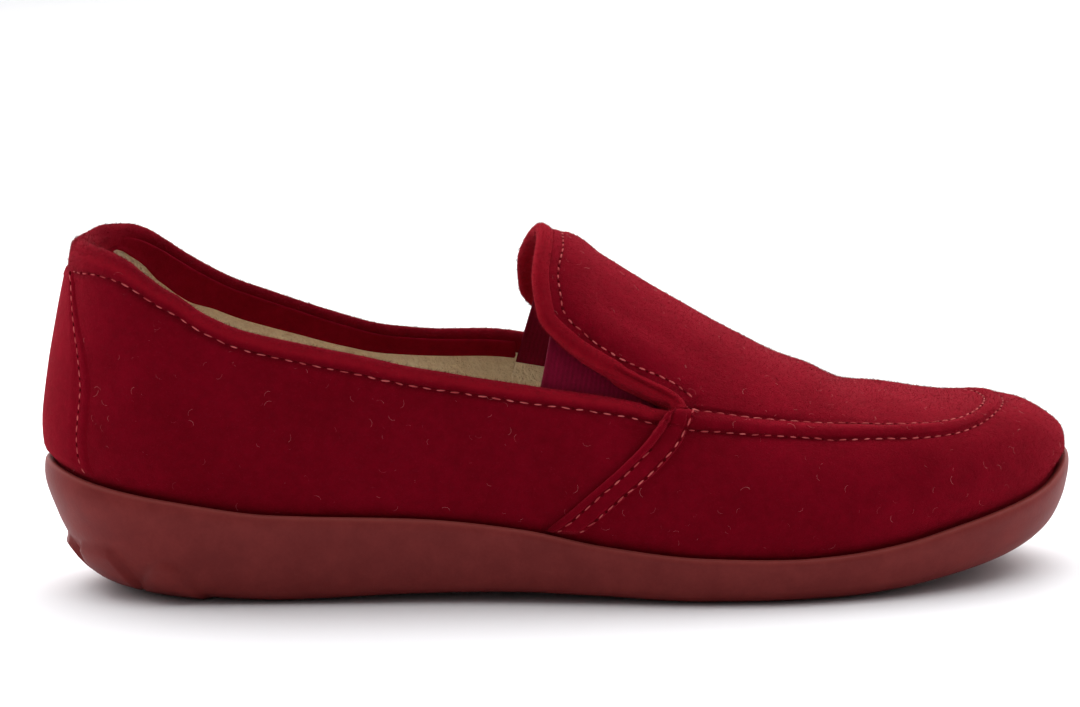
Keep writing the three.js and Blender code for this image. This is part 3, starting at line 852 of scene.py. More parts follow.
# Painted shade along the rows of stitches, the hem row and the folds of the strips.
painted_stitch_fold_shade = np.maximum.reduce([0.7 * np.exp(-((off / 0.9) ** 2)) for off in (seam_off, hem_off, flap_off)])
painted_stitch_fold_shade = np.maximum(painted_stitch_fold_shade, np.exp(-((fold_off / 1.3) ** 2)))
felt_upper = piece(
    "felt_upper",
    upper_points,
    upper_faces,
    [felt_red, fleece_cream],
    upper_inside,
    {"edge": distance_to(upper_points, edges), "painted_stitch_fold_shade": painted_stitch_fold_shade},
)

skin_tree = tree_of(sewn_points, skin_faces)

# %% [markdown]
# ### The rolled edge of the flap
# A soft felt binding is folded over the free edge of the flap and puffs up between the edge and
# its stitches. It is swept: one closed outline is carried along the edge, and its inner half is
# laid on the felt face at each step, so that it follows the arch.

# %% Sweep the binding along the flap's edge
BINDING = table(
    out=(-4.1, -3.95, -3.5, -2.9, -2.2, -1.5, -0.8, -0.25, 0.05, 0.1, -0.1, -0.6, -1.4, -2.4, -3.3,
        -3.9, -4.1),
    up=(-0.5, 0.1, 0.5, 0.85, 1.05, 1.1, 0.9, 0.4, -0.4, -1.3, -2.2, -2.9, -3.35, -3.45, -3.4, -3.1,
        -2.3),
)


def capped_sweep(rings):
    """Quads round a row of closed rings, with a fan over each end."""
    count, sides = rings.shape[:2]
    points = rings.reshape(-1, 3)
    faces = []
    for i in range(count - 1):
        for k in range(sides):
            a, b = i * sides + k, i * sides + (k + 1) % sides
            faces.append([a, a + sides, b + sides, b])
    points = np.concatenate([points, rings[:1].mean(1), rings[-1:].mean(1)])
    first, last = count * sides, count * sides + 1
    for k in range(sides):
        faces.append([first, k, (k + 1) % sides])
        end = (count - 1) * sides
        faces.append([last, end + (k + 1) % sides, end + k])
    return points, faces


def swept_binding(line, outline):
    place, facing = laid_on(skin_tree, line)
    facing = smoothed(facing, 8)
    outward = -smoothed(np.cross(along_line(line), facing), 4)
    rings = []
    puff = 1 + 0.05 * uneven(line, 5, 11)
    for out, up in zip(outline["out"], outline["up"]):
        spot = line + outward * out
        if out < -2.0:
            on_face, face_up = laid_on(skin_tree, spot)
            spot = on_face + smoothed(face_up, 6) * (up * puff)[:, None]
        else:
            spot = spot + facing * (up * puff)[:, None]
        rings.append(spot)
    return capped_sweep(np.stack(rings, 1))


binding_points, binding_faces = swept_binding(even_steps(flap_rim, 0.7), BINDING)
flap_binding = piece(
    "flap_binding",
    binding_points,
    binding_faces,
    [felt_roll],
    attributes={"edge": distance_to(binding_points, flap_rim)},
)

# %% [markdown]
# ### Overlap strips and the heel strip
# On each side a folded strip hides where vamp and quarter meet. Its back edge is the fold, so it
# stands proud and round; its front edge lies flat under the second row of stitches. The heel
# strip covers the back seam. Each is a grid laid over the skin, then given its thickness.

# %% A strip laid over the felt
STRIP_HEIGHT = table(
    across=(0, 0.03, 0.09, 0.18, 0.26, 0.31, 0.37, 0.6, 0.78, 0.86, 0.92, 0.97, 1),
    up=(0.15, 1.0, 1.6, 1.75, 1.35, 1.0, 1.2, 1.3, 1.15, 0.75, 0.9, 0.6, 0.1),
)
strip_up = curve(STRIP_HEIGHT, "up", "across")
STRIP_SHARES = np.unique(np.concatenate([np.linspace(0, 1, 25), STRIP_HEIGHT["across"]]))
STRIP_THICK, STRIP_SUNK, STRIP_TOP, STRIP_ROWS = 0.9, 0.35, 47.2, 70
FOLD_SHARE, ABOVE_RIM = 0.31, 0.45


def laid_strip(grid, heights, flip=False):
    """A grid laid on the felt and raised by its heights: points and faces, and its face."""
    place, facing = laid_on(skin_tree, grid.reshape(-1, 3))
    face = place + facing * heights.reshape(-1, 1)
    faces = grid_faces(*grid.shape[:2], flip=flip).tolist()
    points, faces, _ = shell(face, faces, STRIP_THICK, 4, inner=place - facing * STRIP_SUNK)
    return points, faces, face.reshape(grid.shape)


def closing(count, least):
    """Shares of a height for a strip's rows, which fall off over three rows at both ends."""
    row = np.arange(count)
    return np.clip(np.minimum(row, row[::-1]) / 3, least, 1)[:, None]


def overlap_strip(name, sign):
    scan = np.linspace(5, 30, 400)
    middle = (strip_back(scan) + strip_front(scan)) / 2
    lowest = scan[np.argmax(scan > rim_at(middle) + 0.5)]
    z = np.linspace(lowest, STRIP_TOP, STRIP_ROWS)[:, None]
    x = strip_back(z) + (strip_front(z) - strip_back(z)) * STRIP_SHARES[None]
    z = np.maximum(z + 0 * x, rim_at(x) + ABOVE_RIM)
    grid = side_wall(x, sign, z, 1.0)
    puckers = 1 + 0.09 * uneven(grid.reshape(-1, 3), 4, 21 + sign).reshape(STRIP_ROWS, -1)
    fold = 0.7 + 0.75 * np.clip((z[:, :1] - 33) / 8, 0, 1)
    heights = strip_up(STRIP_SHARES)[None] * closing(STRIP_ROWS, 0.15) * puckers
    heights = heights * (1 + (fold - 1) * (STRIP_SHARES < FOLD_SHARE)[None])
    points, faces, face = laid_strip(grid, heights, flip=sign < 0)
    fold_line = laid_on(skin_tree, even_steps(grid[:, 0], LINE_STEP))[0]
    near = distance_to(points, fold_line) + 0.9
    return piece(name, points, faces, [felt_red], attributes={"edge": near}), face


strip_outer, strip_outer_grid = overlap_strip("strip_outer", -1)
strip_inner, strip_inner_grid = overlap_strip("strip_inner", 1)

# %% The heel strip
HEEL_STRIP = table(
    z=(20, 50, 58, 66, 73, 80),
    half=(20.2, 22.3, 20.8, 17.2, 12.9, 8.2),
)


heel_half_at = curve(HEEL_STRIP, "half", "z")
HEEL_TOP, HEEL_ROWS = 79.2, 64


def heel_point(share, z, grow):
    """A point of the heel by its share of the strip's half width, negative outside."""
    sign = np.where(share < 0, -1, 1)
    low, high = np.full_like(z, HEEL_X + 0.2), np.full_like(z, HEEL_X + 34)
    for _ in range(40):
        middle = (low + high) / 2
        wide = np.abs(side_wall(middle, sign, z, grow)[..., 1])
        narrow = wide < heel_half_at(z) * np.abs(share)
        low, high = np.where(narrow, middle, low), np.where(narrow, high, middle)
    return side_wall(middle, sign, z, grow)


share = np.linspace(-1, 1, 61)
heel_z = np.linspace(34.5, HEEL_TOP, HEEL_ROWS)[:, None]
low_edge = rim_at(heel_point(share[None], heel_z, 1.0)[..., 0]) + ABOVE_RIM
heel_z = low_edge + (HEEL_TOP - low_edge) * np.linspace(0, 1, HEEL_ROWS)[:, None]
heel_grid = heel_point(share[None], heel_z, 1.0)
side_ends = np.clip((1 - np.abs(share)) / 0.07, 0, 1) ** 0.6
groove = 0.3 * bump_of((1 - np.abs(share) - 0.1) / 0.06)
heights = (0.08 + 0.72 * side_ends[None] - groove[None]) * closing(HEEL_ROWS, 0.1)
points, faces, heel_strip_grid = laid_strip(heel_grid, heights)
near = distance_to(points, np.concatenate([heel_strip_grid[:, 0], heel_strip_grid[:, -1]])) + 1.3
heel_strip = piece("heel_strip", points, faces, [felt_red], attributes={"edge": near})

# %% [markdown]
# ### Facing, gores and sock
# Inside the topline a strip of the same felt faces the fleece, and its lower edge stands a
# little off the lining. Under the flap an elastic gore closes each side. Elastic is woven with
# ribs, so the ribs are made as real relief. On the cup's floor lies the fleece sock.

# %% The facing inside the topline
FACING_END_X, FACING_THICK, FACING_DOWN = -11.0, 0.9, 3.2
FACING_DEEP = table(
    x=(-130, -122.5, -118.5, -116, -114.5, -113, -109.5, -105.7, -101.4, -94, -86, -78, -64, -50,
        -39, -10),
    deep=(9, 8.6, 7.8, 6.4, 5.7, 6, 7.3, 8.6, 10.7, 11.4, 9.8, 9.4, 8.5, 7.6, 7, 6.8),
)


facing_deep_at = curve(FACING_DEEP, "deep")


def facing_rows(s, sign):
    rows = np.linspace(0, 1, 16)[None]
    loose = 0.5 * np.clip((rows - 0.45) / 0.55, 0, 1) ** 2
    inward = WALL + FACING_THICK + loose
    x = station_x(s[:, None], UPPER_INSET + inward, UPPER_INSET + inward)
    z = top_at(x, sign)
    for _ in range(4):
        z = top_at(x + heel_lean(x, z), sign)
    heights = z - FACING_DOWN - (facing_deep_at(x) - FACING_DOWN) * rows
    return side_wall(x, sign, heights, -inward)


facing_s = np.linspace(station_of(FACING_END_X, UPPER_INSET + WALL), 0, 140)
facing_grid = np.concatenate([facing_rows(facing_s, -1), facing_rows(facing_s[::-1], 1)[1:]])
facing_points, facing_faces = welded([(facing_grid.reshape(-1, 3), grid_faces(*facing_grid.shape[:2]))])
facing_points += normals_of(facing_points, facing_faces) * 0.12 * uneven(facing_points, 6, 31)[:, None]
points, faces, _ = shell(facing_points, facing_faces, FACING_THICK, 4)
near = distance_to(points, even_steps(facing_grid[:, -1], LINE_STEP))
facing = piece("facing", points, faces, [felt_red], attributes={"edge": near + 0.8})

# %% An elastic gore
GORE_LOW = table(
    share=(0, 1),
    x=(-11.5, 33),
    z=(42, 37.5),
)
GORE_TOP = table(
    share=(0, 0.4, 1),
    x=(-4.5, 10, 31),
    z=(70, 62, 51),
)
GORE_LINED = table(
    x=(-9.8, 7.2, 32.5),
    z=(48.79, 45.6, 40.8),
)
GORE_THICK, GORE_INSIDE, GORE_BACK, RIB_PITCH = 1.2, WALL + GAP + 0.35, 0.9, 1.15
gore_low, gore_top = ([curve(t, key, "share") for key in "xz"] for t in (GORE_LOW, GORE_TOP))
gore_lined_at = curve(GORE_LINED, "z")


def gore(name, sign):
    share = np.linspace(0, 1, 241)[:, None]
    rise = np.linspace(0, 1, 34)[None]
    x, z = (low(share) + (top(share) - low(share)) * rise for low, top in zip(gore_low, gore_top))
    across = np.linalg.norm([x[-1] - x[0], z[-1] - z[0]], axis=0).mean() * share + 0 * rise
    rib = 0.5 + 0.5 * np.cos(2 * np.pi * across / RIB_PITCH)
    selvedge = np.clip(across / 1.6, 0, 1)
    slack = 0.35 * np.sin(np.pi * rise) * np.sin(np.pi * share)
    lift = 0.05 * rib * selvedge + 0.18 * (1 - selvedge) + slack
    grid = side_wall(x, sign, z, lift - GORE_INSIDE)
    inner = side_wall(x, sign, z, slack - GORE_INSIDE - GORE_BACK).reshape(-1, 3)
    quads = grid_faces(*grid.shape[:2], flip=sign > 0).tolist()
    points, faces, _ = shell(grid.reshape(-1, 3), quads, GORE_THICK, 4, inner=inner)
    both_sides = np.tile((rib * selvedge).ravel(), 2)
    ribs = np.concatenate([both_sides, np.zeros(len(points) - len(both_sides))])
    middle = np.array([points[list(face)].mean(0) for face in faces])
    lined = (middle[:, 2] < gore_lined_at(middle[:, 0])).astype(int)
    return piece(name, points, faces, [elastic_magenta, fleece_cream], lined, {"rib": ribs})


gore_outer, gore_inner = gore("gore_outer", -1), gore("gore_inner", 1)

# %% The fleece sock on the cup's floor
SOCK_THICK = 4.0
SOCK_INSET = RIM_THICK + GAP + WALL + GAP


def plan_grid(inset, stations, rows, height):
    """A grid over the plan, from its outer edge to its inner edge, at a height."""
    s = np.linspace(0, 1, stations)[:, None]
    x = station_x(s, inset, inset)
    low = axis_at(x) - half_width(x, -1, inset, inset, inset)
    high = axis_at(x) + half_width(x, 1, inset, inset, inset)
    share = (1 - np.cos(np.pi * np.linspace(0, 1, rows)[None])) / 2
    y = low + (high - low) * share
    return np.stack(np.broadcast_arrays(x, y, height(x)), -1)


sock_top = plan_grid(SOCK_INSET, 170, 60, lambda x: floor_at(x) + GAP + SOCK_THICK)
points, faces = welded([(sock_top.reshape(-1, 3), grid_faces(*sock_top.shape[:2]))])
low = points - [0, 0, SOCK_THICK]
points[:, 2] += 0.25 * uneven(points, 5, 41) + 0.3 * uneven(points, 22, 42) - 0.3
points, faces, _ = shell(points, faces, SOCK_THICK, 6, inner=low)
fleece_sock = piece("fleece_sock", points, faces, [fleece_cream])

# %% [markdown]
# ## The unit sole
# The sole is moulded in one piece: a cup with a thin rim, a bevelled heel with round lobes, and
# a tread of shallow waved grooves. It is made as rings round the plan, one table row after
# another with a smooth curve between them, and the lobes and grooves are relief of that surface.

# %% Rings of the side wall and the rim
SOLE_WALL = table(
    share=(0, 0.04, 0.13, 0.3, 0.6, 0.88, 0.97, 1),
    heel=(30, 21, 13.5, 8, 2.7, 0, 0.25, 0.9),
    side=(8, 5, 3, 1.7, 0.8, 0, 0.25, 0.9),
    toe=(13, 9, 6, 3, 0.7, 0, 0.25, 0.9),
)
wall_insets = [curve(SOLE_WALL, name, "share") for name in ("heel", "side", "toe")]
WALL_SHARES = np.concatenate(
    [np.linspace(0, 0.14, 9), np.linspace(0.14, 0.94, 25)[1:], [0.955, 0.97, 0.985, 1]]
)
SOLE_STATIONS, RIM_LIP = 180, 1.6
RIM_STEPS = ((1.5, 0.1), (2.2, 0.25), (RIM_THICK, 0.5), (RIM_THICK + 0.02, RIM_LIP))


def plan_ring(heel, side, toe, height):
    """A closed ring round the plan: heel, outer side, toe, inner side."""
    x = station_x(np.linspace(0, 1, SOLE_STATIONS), heel, toe)
    back = x[-2:0:-1]
    outer = axis_at(x) - half_width(x, -1, heel, side, toe)
    inner = axis_at(back) + half_width(back, 1, heel, side, toe)
    x, y = np.concatenate([x, back]), np.concatenate([outer, inner])
    return np.stack([x, y, height(x)], -1)


def cup_height(x, drop):
    """A height inside the cup: drop is 0 at the lip of its rim and 1 on its floor."""
    return rim_at(x) - RIM_LIP + (floor_at(x) - rim_at(x) + RIM_LIP) * drop


def sole_rings():
    """Rings of the wall from the tread to the rim, then over the rim and down into the cup."""
    rings = []
    for share in WALL_SHARES:
        insets = (float(inset(share)) for inset in wall_insets)
        rings.append(plan_ring(*insets, lambda x: under_at(x) + share * (rim_at(x) - under_at(x))))
    for inset, dip in RIM_STEPS:
        rings.append(plan_ring(inset, inset, inset, lambda x: rim_at(x) - dip + 0.12))
    for drop in (0.35, 0.7, 1):
        rings.append(plan_ring(RIM_THICK, RIM_THICK, RIM_THICK, lambda x: cup_height(x, drop)))
    return np.stack(rings)


def ring_faces(rings):
    count, sides = rings.shape[:2]
    i, k = np.meshgrid(np.arange(count - 1), np.arange(sides), indexing="ij")
    a, b = (i * sides + k).ravel(), (i * sides + (k + 1) % sides).ravel()
    return np.stack([a, b, b + sides, a + sides], -1)


def ring_disc(ring, rows, up):
    """A grid across a ring, from its outer to its inner side, with finer rows at both edges."""
    count = SOLE_STATIONS
    outer = ring[:count]
    inner = np.concatenate([ring[:1], ring[:count - 1:-1], ring[count - 1 : count]])
    share = ((1 - np.cos(np.pi * np.linspace(0, 1, rows))) / 2)[None, :, None]
    grid = outer[:, None] + (inner - outer)[:, None] * share
    return grid.reshape(-1, 3), grid_faces(count, rows, flip=not up)


rings = sole_rings()
UNDER_ROWS, CUP_ROWS = 120, 30
sole_patches = [
    (rings.reshape(-1, 3), ring_faces(rings)),
    ring_disc(rings[0], UNDER_ROWS, up=False),
    ring_disc(rings[-1], CUP_ROWS, up=True),
]
sole_points, sole_faces = welded(sole_patches)

# %% Lobes and grooves of the tread
TREAD_DEPTH = 1.5
LOBE_X, LOBE_RING, LOBE_RADIUS, LOBE_TOP, LOBE_PROUD = -97, 21, 7.6, 13, 1.9
LOBE_TURNS = (-90, -45, 0, 45, 90)
WAVE_WIDTH, WAVE_SWING, WAVE_LENGTH = 3.5, 2.2, 32
GROOVES = table(
    x=(-92, -80, -68, 20, 32, 44, 56, 68),
    reach=(14, 14, 14, 31, 31, 31, 31, 31),
)


def lobe_share(points):
    """1 within a round lobe of the heel's bevel, falling to 0 just outside it."""
    total = np.zeros(len(points))
    for degrees in LOBE_TURNS:
        turn = np.radians(degrees)
        centre = [LOBE_X - LOBE_RING * np.cos(turn), LOBE_RING * np.sin(turn)]
        off = np.linalg.norm(points[:, :2] - centre, axis=1)
        total = np.maximum(total, np.clip((LOBE_RADIUS - off) / 0.7 + 0.5, 0, 1))
    return total * np.clip((LOBE_TOP - points[:, 2]) / 1.5, 0, 1)


def groove_share(points):
    """1 in a waved groove, falling to 0 at its walls."""
    total = np.zeros(len(points))
    for x, reach in zip(GROOVES["x"], GROOVES["reach"]):
        wave = WAVE_SWING * np.sin(2 * np.pi * points[:, 1] / WAVE_LENGTH)
        off = np.abs(points[:, 0] - x - wave)
        inside = np.clip((WAVE_WIDTH / 2 - off) / 0.7 + 0.5, 0, 1)
        total = np.maximum(total, inside * np.clip((reach - np.abs(points[:, 1])) / 0.8, 0, 1))
    return total


under, rim = under_at(sole_points[:, 0]), rim_at(sole_points[:, 0])
height_share = (sole_points[:, 2] - under) / (rim - under)
sole_normals = normals_of(sole_points, sole_faces)
flat_under = height_share < 0.02
wall_side = (height_share > 0.001) & (height_share < 0.6)
sole_points[:, 2] += TREAD_DEPTH * groove_share(sole_points) * flat_under
proud = LOBE_PROUD * lobe_share(sole_points) * wall_side
sole_points += sole_normals * proud[:, None] * [1, 1, 0.4]
sole_points[:, 2] = np.maximum(sole_points[:, 2], 0)
outer_rim = rings[len(WALL_SHARES) - 1]
unit_sole = piece(
    "unit_sole",
    sole_points,
    sole_faces,
    [rubber_brick],
    attributes={"edge": distance_to(sole_points, outer_rim)},
)

# %% [markdown]
# ## What repeats: stitches, fuzz and lint
# Hundreds of equal small shapes are work for Geometry Nodes. The script lays a line or a face,
# a tree puts one small shape at each place, and its last nodes turn the copies into real faces.
# The result is kept as a plain mesh.

# %% Build a tree with named inputs
class Tree:
    def __init__(self, name, **inputs):
        self.tree = bpy.data.node_groups.new(name, "GeometryNodeTree")
        kinds = {float: "NodeSocketFloat", int: "NodeSocketInt"}
        new_socket = self.tree.interface.new_socket
        new_socket("Geometry", in_out="INPUT", socket_type="NodeSocketGeometry")
        new_socket("Material", in_out="INPUT", socket_type="NodeSocketMaterial")
        for key, value in inputs.items():
            new_socket(key, in_out="INPUT", socket_type=kinds[type(value)]).default_value = value
        new_socket("Geometry", in_out="OUTPUT", socket_type="NodeSocketGeometry")
        self.given = self.tree.nodes.new("NodeGroupInput").outputs

    def node(self, kind, settings=None, inputs=None):
        return add_node(self.tree, kind, settings, inputs).outputs

    def part_of(self, value, share):
        return self.node("ShaderNodeMath", {"operation": "MULTIPLY"}, {0: value, 1: share})[0]

    def vector(self, *values):
        return self.node("ShaderNodeCombineXYZ", inputs=dict(enumerate(values)))[0]

    def random(self, low, high):
        """A number or a vector between two, another one for each copy."""
        first, kind = (0, "FLOAT_VECTOR") if isinstance(low, tuple) else (2, "FLOAT")
        inputs = {first: low, first + 1: high, "Seed": self.given["Seed"]}
        return self.node("FunctionNodeRandomValue", {"data_type": kind}, inputs)[first // 2]

    def leaning(self, rotation, most):
        """The rotation, with a lean of its own for each copy, at most so much round each axis."""
        lean = self.random(tuple(-angle for angle in most), most)
        lean = self.node("FunctionNodeEulerToRotation", inputs={0: lean})[0]
        inputs = {"Rotation": rotation, "Rotate By": lean}
        return self.node("FunctionNodeRotateRotation", {"rotation_space": "LOCAL"}, inputs)[0]

    def finish(self, points, shape, rotation, size):
        """A copy of the shape at each point, turned into real faces of the material."""
        inputs = {"Points": points, "Instance": shape, "Rotation": rotation, "Scale": size}
        copies = self.node("GeometryNodeInstanceOnPoints", inputs=inputs)[0]
        real = self.node("GeometryNodeRealizeInstances", inputs={0: copies})[0]
        smooth = self.node("GeometryNodeSetShadeSmooth", inputs={0: real})[0]
        inputs = {"Geometry": smooth, "Material": self.given["Material"]}
        dressed = self.node("GeometryNodeSetMaterial", inputs=inputs)[0]
        self.tree.links.new(dressed, self.tree.nodes.new("NodeGroupOutput").inputs[0])
        return self.tree


# %% Keep a tree's result as a plain mesh
def grown(name, mesh, tree, material, **values):
    """Runs a tree on a mesh, and returns its result as a plain object."""
    carrier = bpy.data.objects.new(name + "_carrier", mesh)
    bpy.context.scene.collection.objects.link(carrier)
    modifier = carrier.modifiers.new("grow", "NODES")
    modifier.node_group = tree
    identifiers = {s.name: s.identifier for s in tree.interface.items_tree if s.in_out == "INPUT"}
    for key, value in {"Material": material, **values}.items():
        modifier[identifiers[key]] = value
    depsgraph = bpy.context.evaluated_depsgraph_get()
    result = bpy.data.meshes.new_from_object(carrier.evaluated_get(depsgraph))
    bpy.data.objects.remove(carrier)
    result.name = name
    result.materials.clear()
    result.materials.append(material)
    result.polygons.foreach_set("material_index", [0] * len(result.polygons))
    made = bpy.data.objects.new(name, result)
    bpy.context.scene.collection.objects.link(made)
    return made


def joined(name, parts):
    """Joins objects of one finish into one."""
    points, faces, count = [], [], 0
    for part in parts:
        mesh = part.data
        co = np.empty(len(mesh.vertices) * 3, np.float32)
        mesh.vertices.foreach_get("co", co)
        points.append(co.reshape(-1, 3) / MM)
        faces += [[count + i for i in polygon.vertices] for polygon in mesh.polygons]
        count += len(mesh.vertices)
        material = mesh.materials[0]
        bpy.data.objects.remove(part)
    return piece(name, np.concatenate(points), faces, [material])


# %% [markdown]
# ### Stitches
# A stitch is a short thread that rises from one hole and dips into the next, so one grain of
# thread per stitch is enough. The line is cut into equal steps, and a grain is turned along the
# line and against the felt at each step.

# %% The tree that sews
STITCH_ASKEW = 0.14


def stitch_tree():
    tree = Tree("sewing", Pitch=0.0035, Shift=0.0, Length=0.0024, Radius=0.00026, Seed=1)
    given = tree.given
    line = tree.node("GeometryNodeMeshToCurve", inputs={0: given["Geometry"]})[0]
    inputs = {"Curve": line, "Length": given["Pitch"]}
    steps = tree.node("GeometryNodeResampleCurve", {"mode": "LENGTH"}, inputs)[0]
    kind = {"data_type": "FLOAT_VECTOR"}
    facing = tree.node("GeometryNodeInputNamedAttribute", kind, {"Name": "facing"})[0]
    tangent = tree.node("GeometryNodeInputTangent")[0]
    inputs = {0: tangent, "Scale": given["Shift"]}
    offset = tree.node("ShaderNodeVectorMath", {"operation": "SCALE"}, inputs)[0]
    moved = tree.node("GeometryNodeSetPosition", inputs={"Geometry": steps, "Offset": offset})[0]
    align = "FunctionNodeAlignRotationToVector"
    upright = tree.node(align, {"axis": "Z"}, {"Vector": facing})[0]
    inputs = {"Rotation": upright, "Vector": tangent}
    laid = tree.node(align, {"axis": "X", "pivot_axis": "Z"}, inputs)[0]
    size = tree.vector(tree.part_of(given["Length"], 0.5), given["Radius"], given["Radius"])
    inputs = {0: size, 1: tree.random((0.75, 0.8, 0.8), (1.15, 1.15, 1.15))}
    size = tree.node("ShaderNodeVectorMath", {"operation": "MULTIPLY"}, inputs)[0]
    inputs = {"Segments": 8, "Rings": 6, "Radius": 1.0}
    grain = tree.node("GeometryNodeMeshUVSphere", inputs=inputs)[0]
    return tree.finish(moved, grain, tree.leaning(laid, (0, 0, STITCH_ASKEW)), size)


sewing = stitch_tree()


def line_mesh(line, facing):
    mesh = bpy.data.meshes.new("line")
    mesh.from_pydata((line * MM).tolist(), [(i, i + 1) for i in range(len(line) - 1)], [])
    mesh.attributes.new("facing", "FLOAT_VECTOR", "POINT").data.foreach_set("vector", facing.ravel())
    return mesh


# %% Rows of stitches, each on the face that it is sewn through
def tree_of_grid(grid, flip=False):
    return tree_of(grid.reshape(-1, 3), grid_faces(*grid.shape[:2], flip=flip).tolist())


def below_top(grid):
    """The hem's line under the last row of a grid, measured along its columns."""
    line = []
    for column in grid[:, ::-1]:
        deep, run = hem_at(column[0, 0]), run_of(column)
        line.append([np.interp(deep, run, column[:, k]) for k in range(3)])
    return np.array(line)


def across_grid(grid, share):
    """The line that runs up a grid at a share of its width."""
    at = share * (grid.shape[1] - 1)
    low = int(at)
    return grid[:, low] + (grid[:, low + 1] - grid[:, low]) * (at - low)


THREAD_LIFT, HOLE_SUNK, HOLE_LENGTH, HOLE_RADIUS = 0.04, 0.12, 1.1, 0.34
HEM_STITCH, SEAM_STITCH = (3.3, 2.1, 0.2), (3.1, 2.0, 0.21)
FLAP_STITCH, HEEL_STITCH = (2.6, 1.7, 0.23), (2.6, 1.6, 0.18)
threads, hole_shade_grains = [], []


def sewn(line, tree, stitch, seed):
    """A row of stitches along a line, laid on a face of the felt, with dark grains of painted shade
    between them.
    """
    pitch, length, radius = stitch
    place, facing = laid_on(tree, even_steps(line, 0.7))
    facing = smoothed(facing, 6)
    sideways = np.cross(along_line(place), facing)
    place = evened(place, 3) + sideways * 0.1 * uneven(place, 9, seed)[:, None]
    over = line_mesh(place + facing * THREAD_LIFT, facing)
    under = line_mesh(place - facing * HOLE_SUNK, facing)
    values = {"Pitch": pitch * MM, "Length": length * MM, "Radius": radius * MM, "Seed": seed}
    threads.append(grown("threads", over, sewing, thread_rose, **values))
    # Dark grains set in between the stitches are painted shade for the dips where the thread pulls in.
    values |= {"Shift": pitch / 2 * MM, "Length": HOLE_LENGTH * MM, "Radius": HOLE_RADIUS * MM}
    hole_shade_grains.append(grown("hole_shade_grains", under, sewing, hole_shade, **values))


sewn(below_top(quarter_grid), skin_tree, HEM_STITCH, 1)
sewn(moc_rows[0], skin_tree, SEAM_STITCH, 2)
sewn(moc_rows[1], skin_tree, SEAM_STITCH, 3)
sewn(flap_row[3:-3], skin_tree, FLAP_STITCH, 4)
for seed, grid, flip in ((5, strip_outer_grid, True), (6, strip_inner_grid, False)):
    strip_tree = tree_of_grid(grid, flip)
    for share, until in ((0.33, -24), (0.91, -3)):
        at = np.interp(share, STRIP_SHARES, np.linspace(0, 1, len(STRIP_SHARES)))
        sewn(across_grid(grid, at)[2:until], strip_tree, SEAM_STITCH, seed)
HEEL_ROW_SHARES = (0.045, 0.955)
for share in HEEL_ROW_SHARES:
    line = across_grid(heel_strip_grid, share)[2:-3]
    sewn(line, tree_of_grid(heel_strip_grid), HEEL_STITCH, 9)
stitching, stitch_hole_shade = joined("stitching", threads), joined("stitch_hole_shade", hole_shade_grains)

# %% [markdown]
# ### Fuzz and lint
# Felt never ends in a clean line: short fibres stand off it, which shows along every outline.
# A tree scatters fine flat blades over the outer faces, each leaning its own way, and more of
# them on the rolled edges. A few longer pale fibres, curled by handling, lie on the felt as lint.

# %% The tree that scatters fibres
def blade(tree):
    """A flat blade of three corners, standing on its face."""
    inputs = {"Vertices": 3, "Radius": 1.0}
    leaf = tree.node("GeometryNodeMeshCircle", {"fill_type": "NGON"}, inputs)[0]
    tall, middle = (tree.part_of(tree.given["Length"], share) for share in (2 / 3, 1 / 3))
    inputs = {
        "Geometry": leaf,
        "Translation": tree.vector(0, 0, middle),
        "Rotation": (0, -np.pi / 2, 0),
        "Scale": tree.vector(tall, tree.given["Radius"], 1.0),
    }
    return tree.node("GeometryNodeTransform", inputs=inputs)[0]


def curl(tree):
    """A thin round fibre, bent to a part of a spiral."""
    inputs = {
        "Resolution": 22,
        "Rotations": 0.3,
        "Start Radius": tree.given["Length"],
        "End Radius": 0.0012,
        "Height": 0.0004,
    }
    spiral = tree.node("GeometryNodeCurveSpiral", inputs=inputs)[0]
    inputs = {"Resolution": 3, "Radius": tree.given["Radius"]}
    outline = tree.node("GeometryNodeCurvePrimitiveCircle", inputs=inputs)[0]
    return tree.node("GeometryNodeCurveToMesh", inputs={0: spiral, 1: outline})[0]


def fibre_tree(name, shape_of, most_lean, sizes):
    """Scatters a shape over faces, each copy with its own lean and size."""
    tree = Tree(name, Density=6000.0, Length=0.002, Radius=0.00003, Seed=1)
    given = tree.given
    inputs = {0: given["Geometry"], "Density": given["Density"], "Seed": given["Seed"]}
    spots = tree.node("GeometryNodeDistributePointsOnFaces", inputs=inputs)
    turned = tree.leaning(spots[2], most_lean)
    return tree.finish(spots[0], shape_of(tree), turned, tree.random(*sizes))


fuzz_of = fibre_tree("fuzz", blade, (1.25, 1.25, 3.1), (0.45, 1.3))
lint_of = fibre_tree("lint", curl, (0.25, 0.25, 3.1), (0.2, 0.85))

# %% Scatter them over the outer faces
RIM_CLEAR_OF_FUZZ, TOPLINE_LOW = 1.2, 40
clear_z = rim_at(sewn_points[:, 0]) + RIM_CLEAR_OF_FUZZ
above_rim = [f for f in skin_faces if sewn_points[f[0], 2] > clear_z[f[0]]]
rolled_rim = [f for f in upper_faces[len(skin_faces) :] if max(f) >= 2 * len(skin_points)]
rolled_rim = [f for f in rolled_rim if min(upper_points[i][2] for i in f) > TOPLINE_LOW]
skin_mesh = mesh_of("skin", sewn_points * MM, above_rim)
rim_mesh = mesh_of("rim", upper_points * MM, rolled_rim)
roll_mesh = mesh_of("roll", binding_points * MM, binding_faces)
FIBRE = 0.0009
NAPS = (
    ("nap", skin_mesh, 2.6e6, 0.00004, 2),
    ("rim_nap", rim_mesh, 6.0e6, 0.00005, 3),
    ("roll_nap", roll_mesh, 4.0e6, 0.00005, 4),
)
naps = []
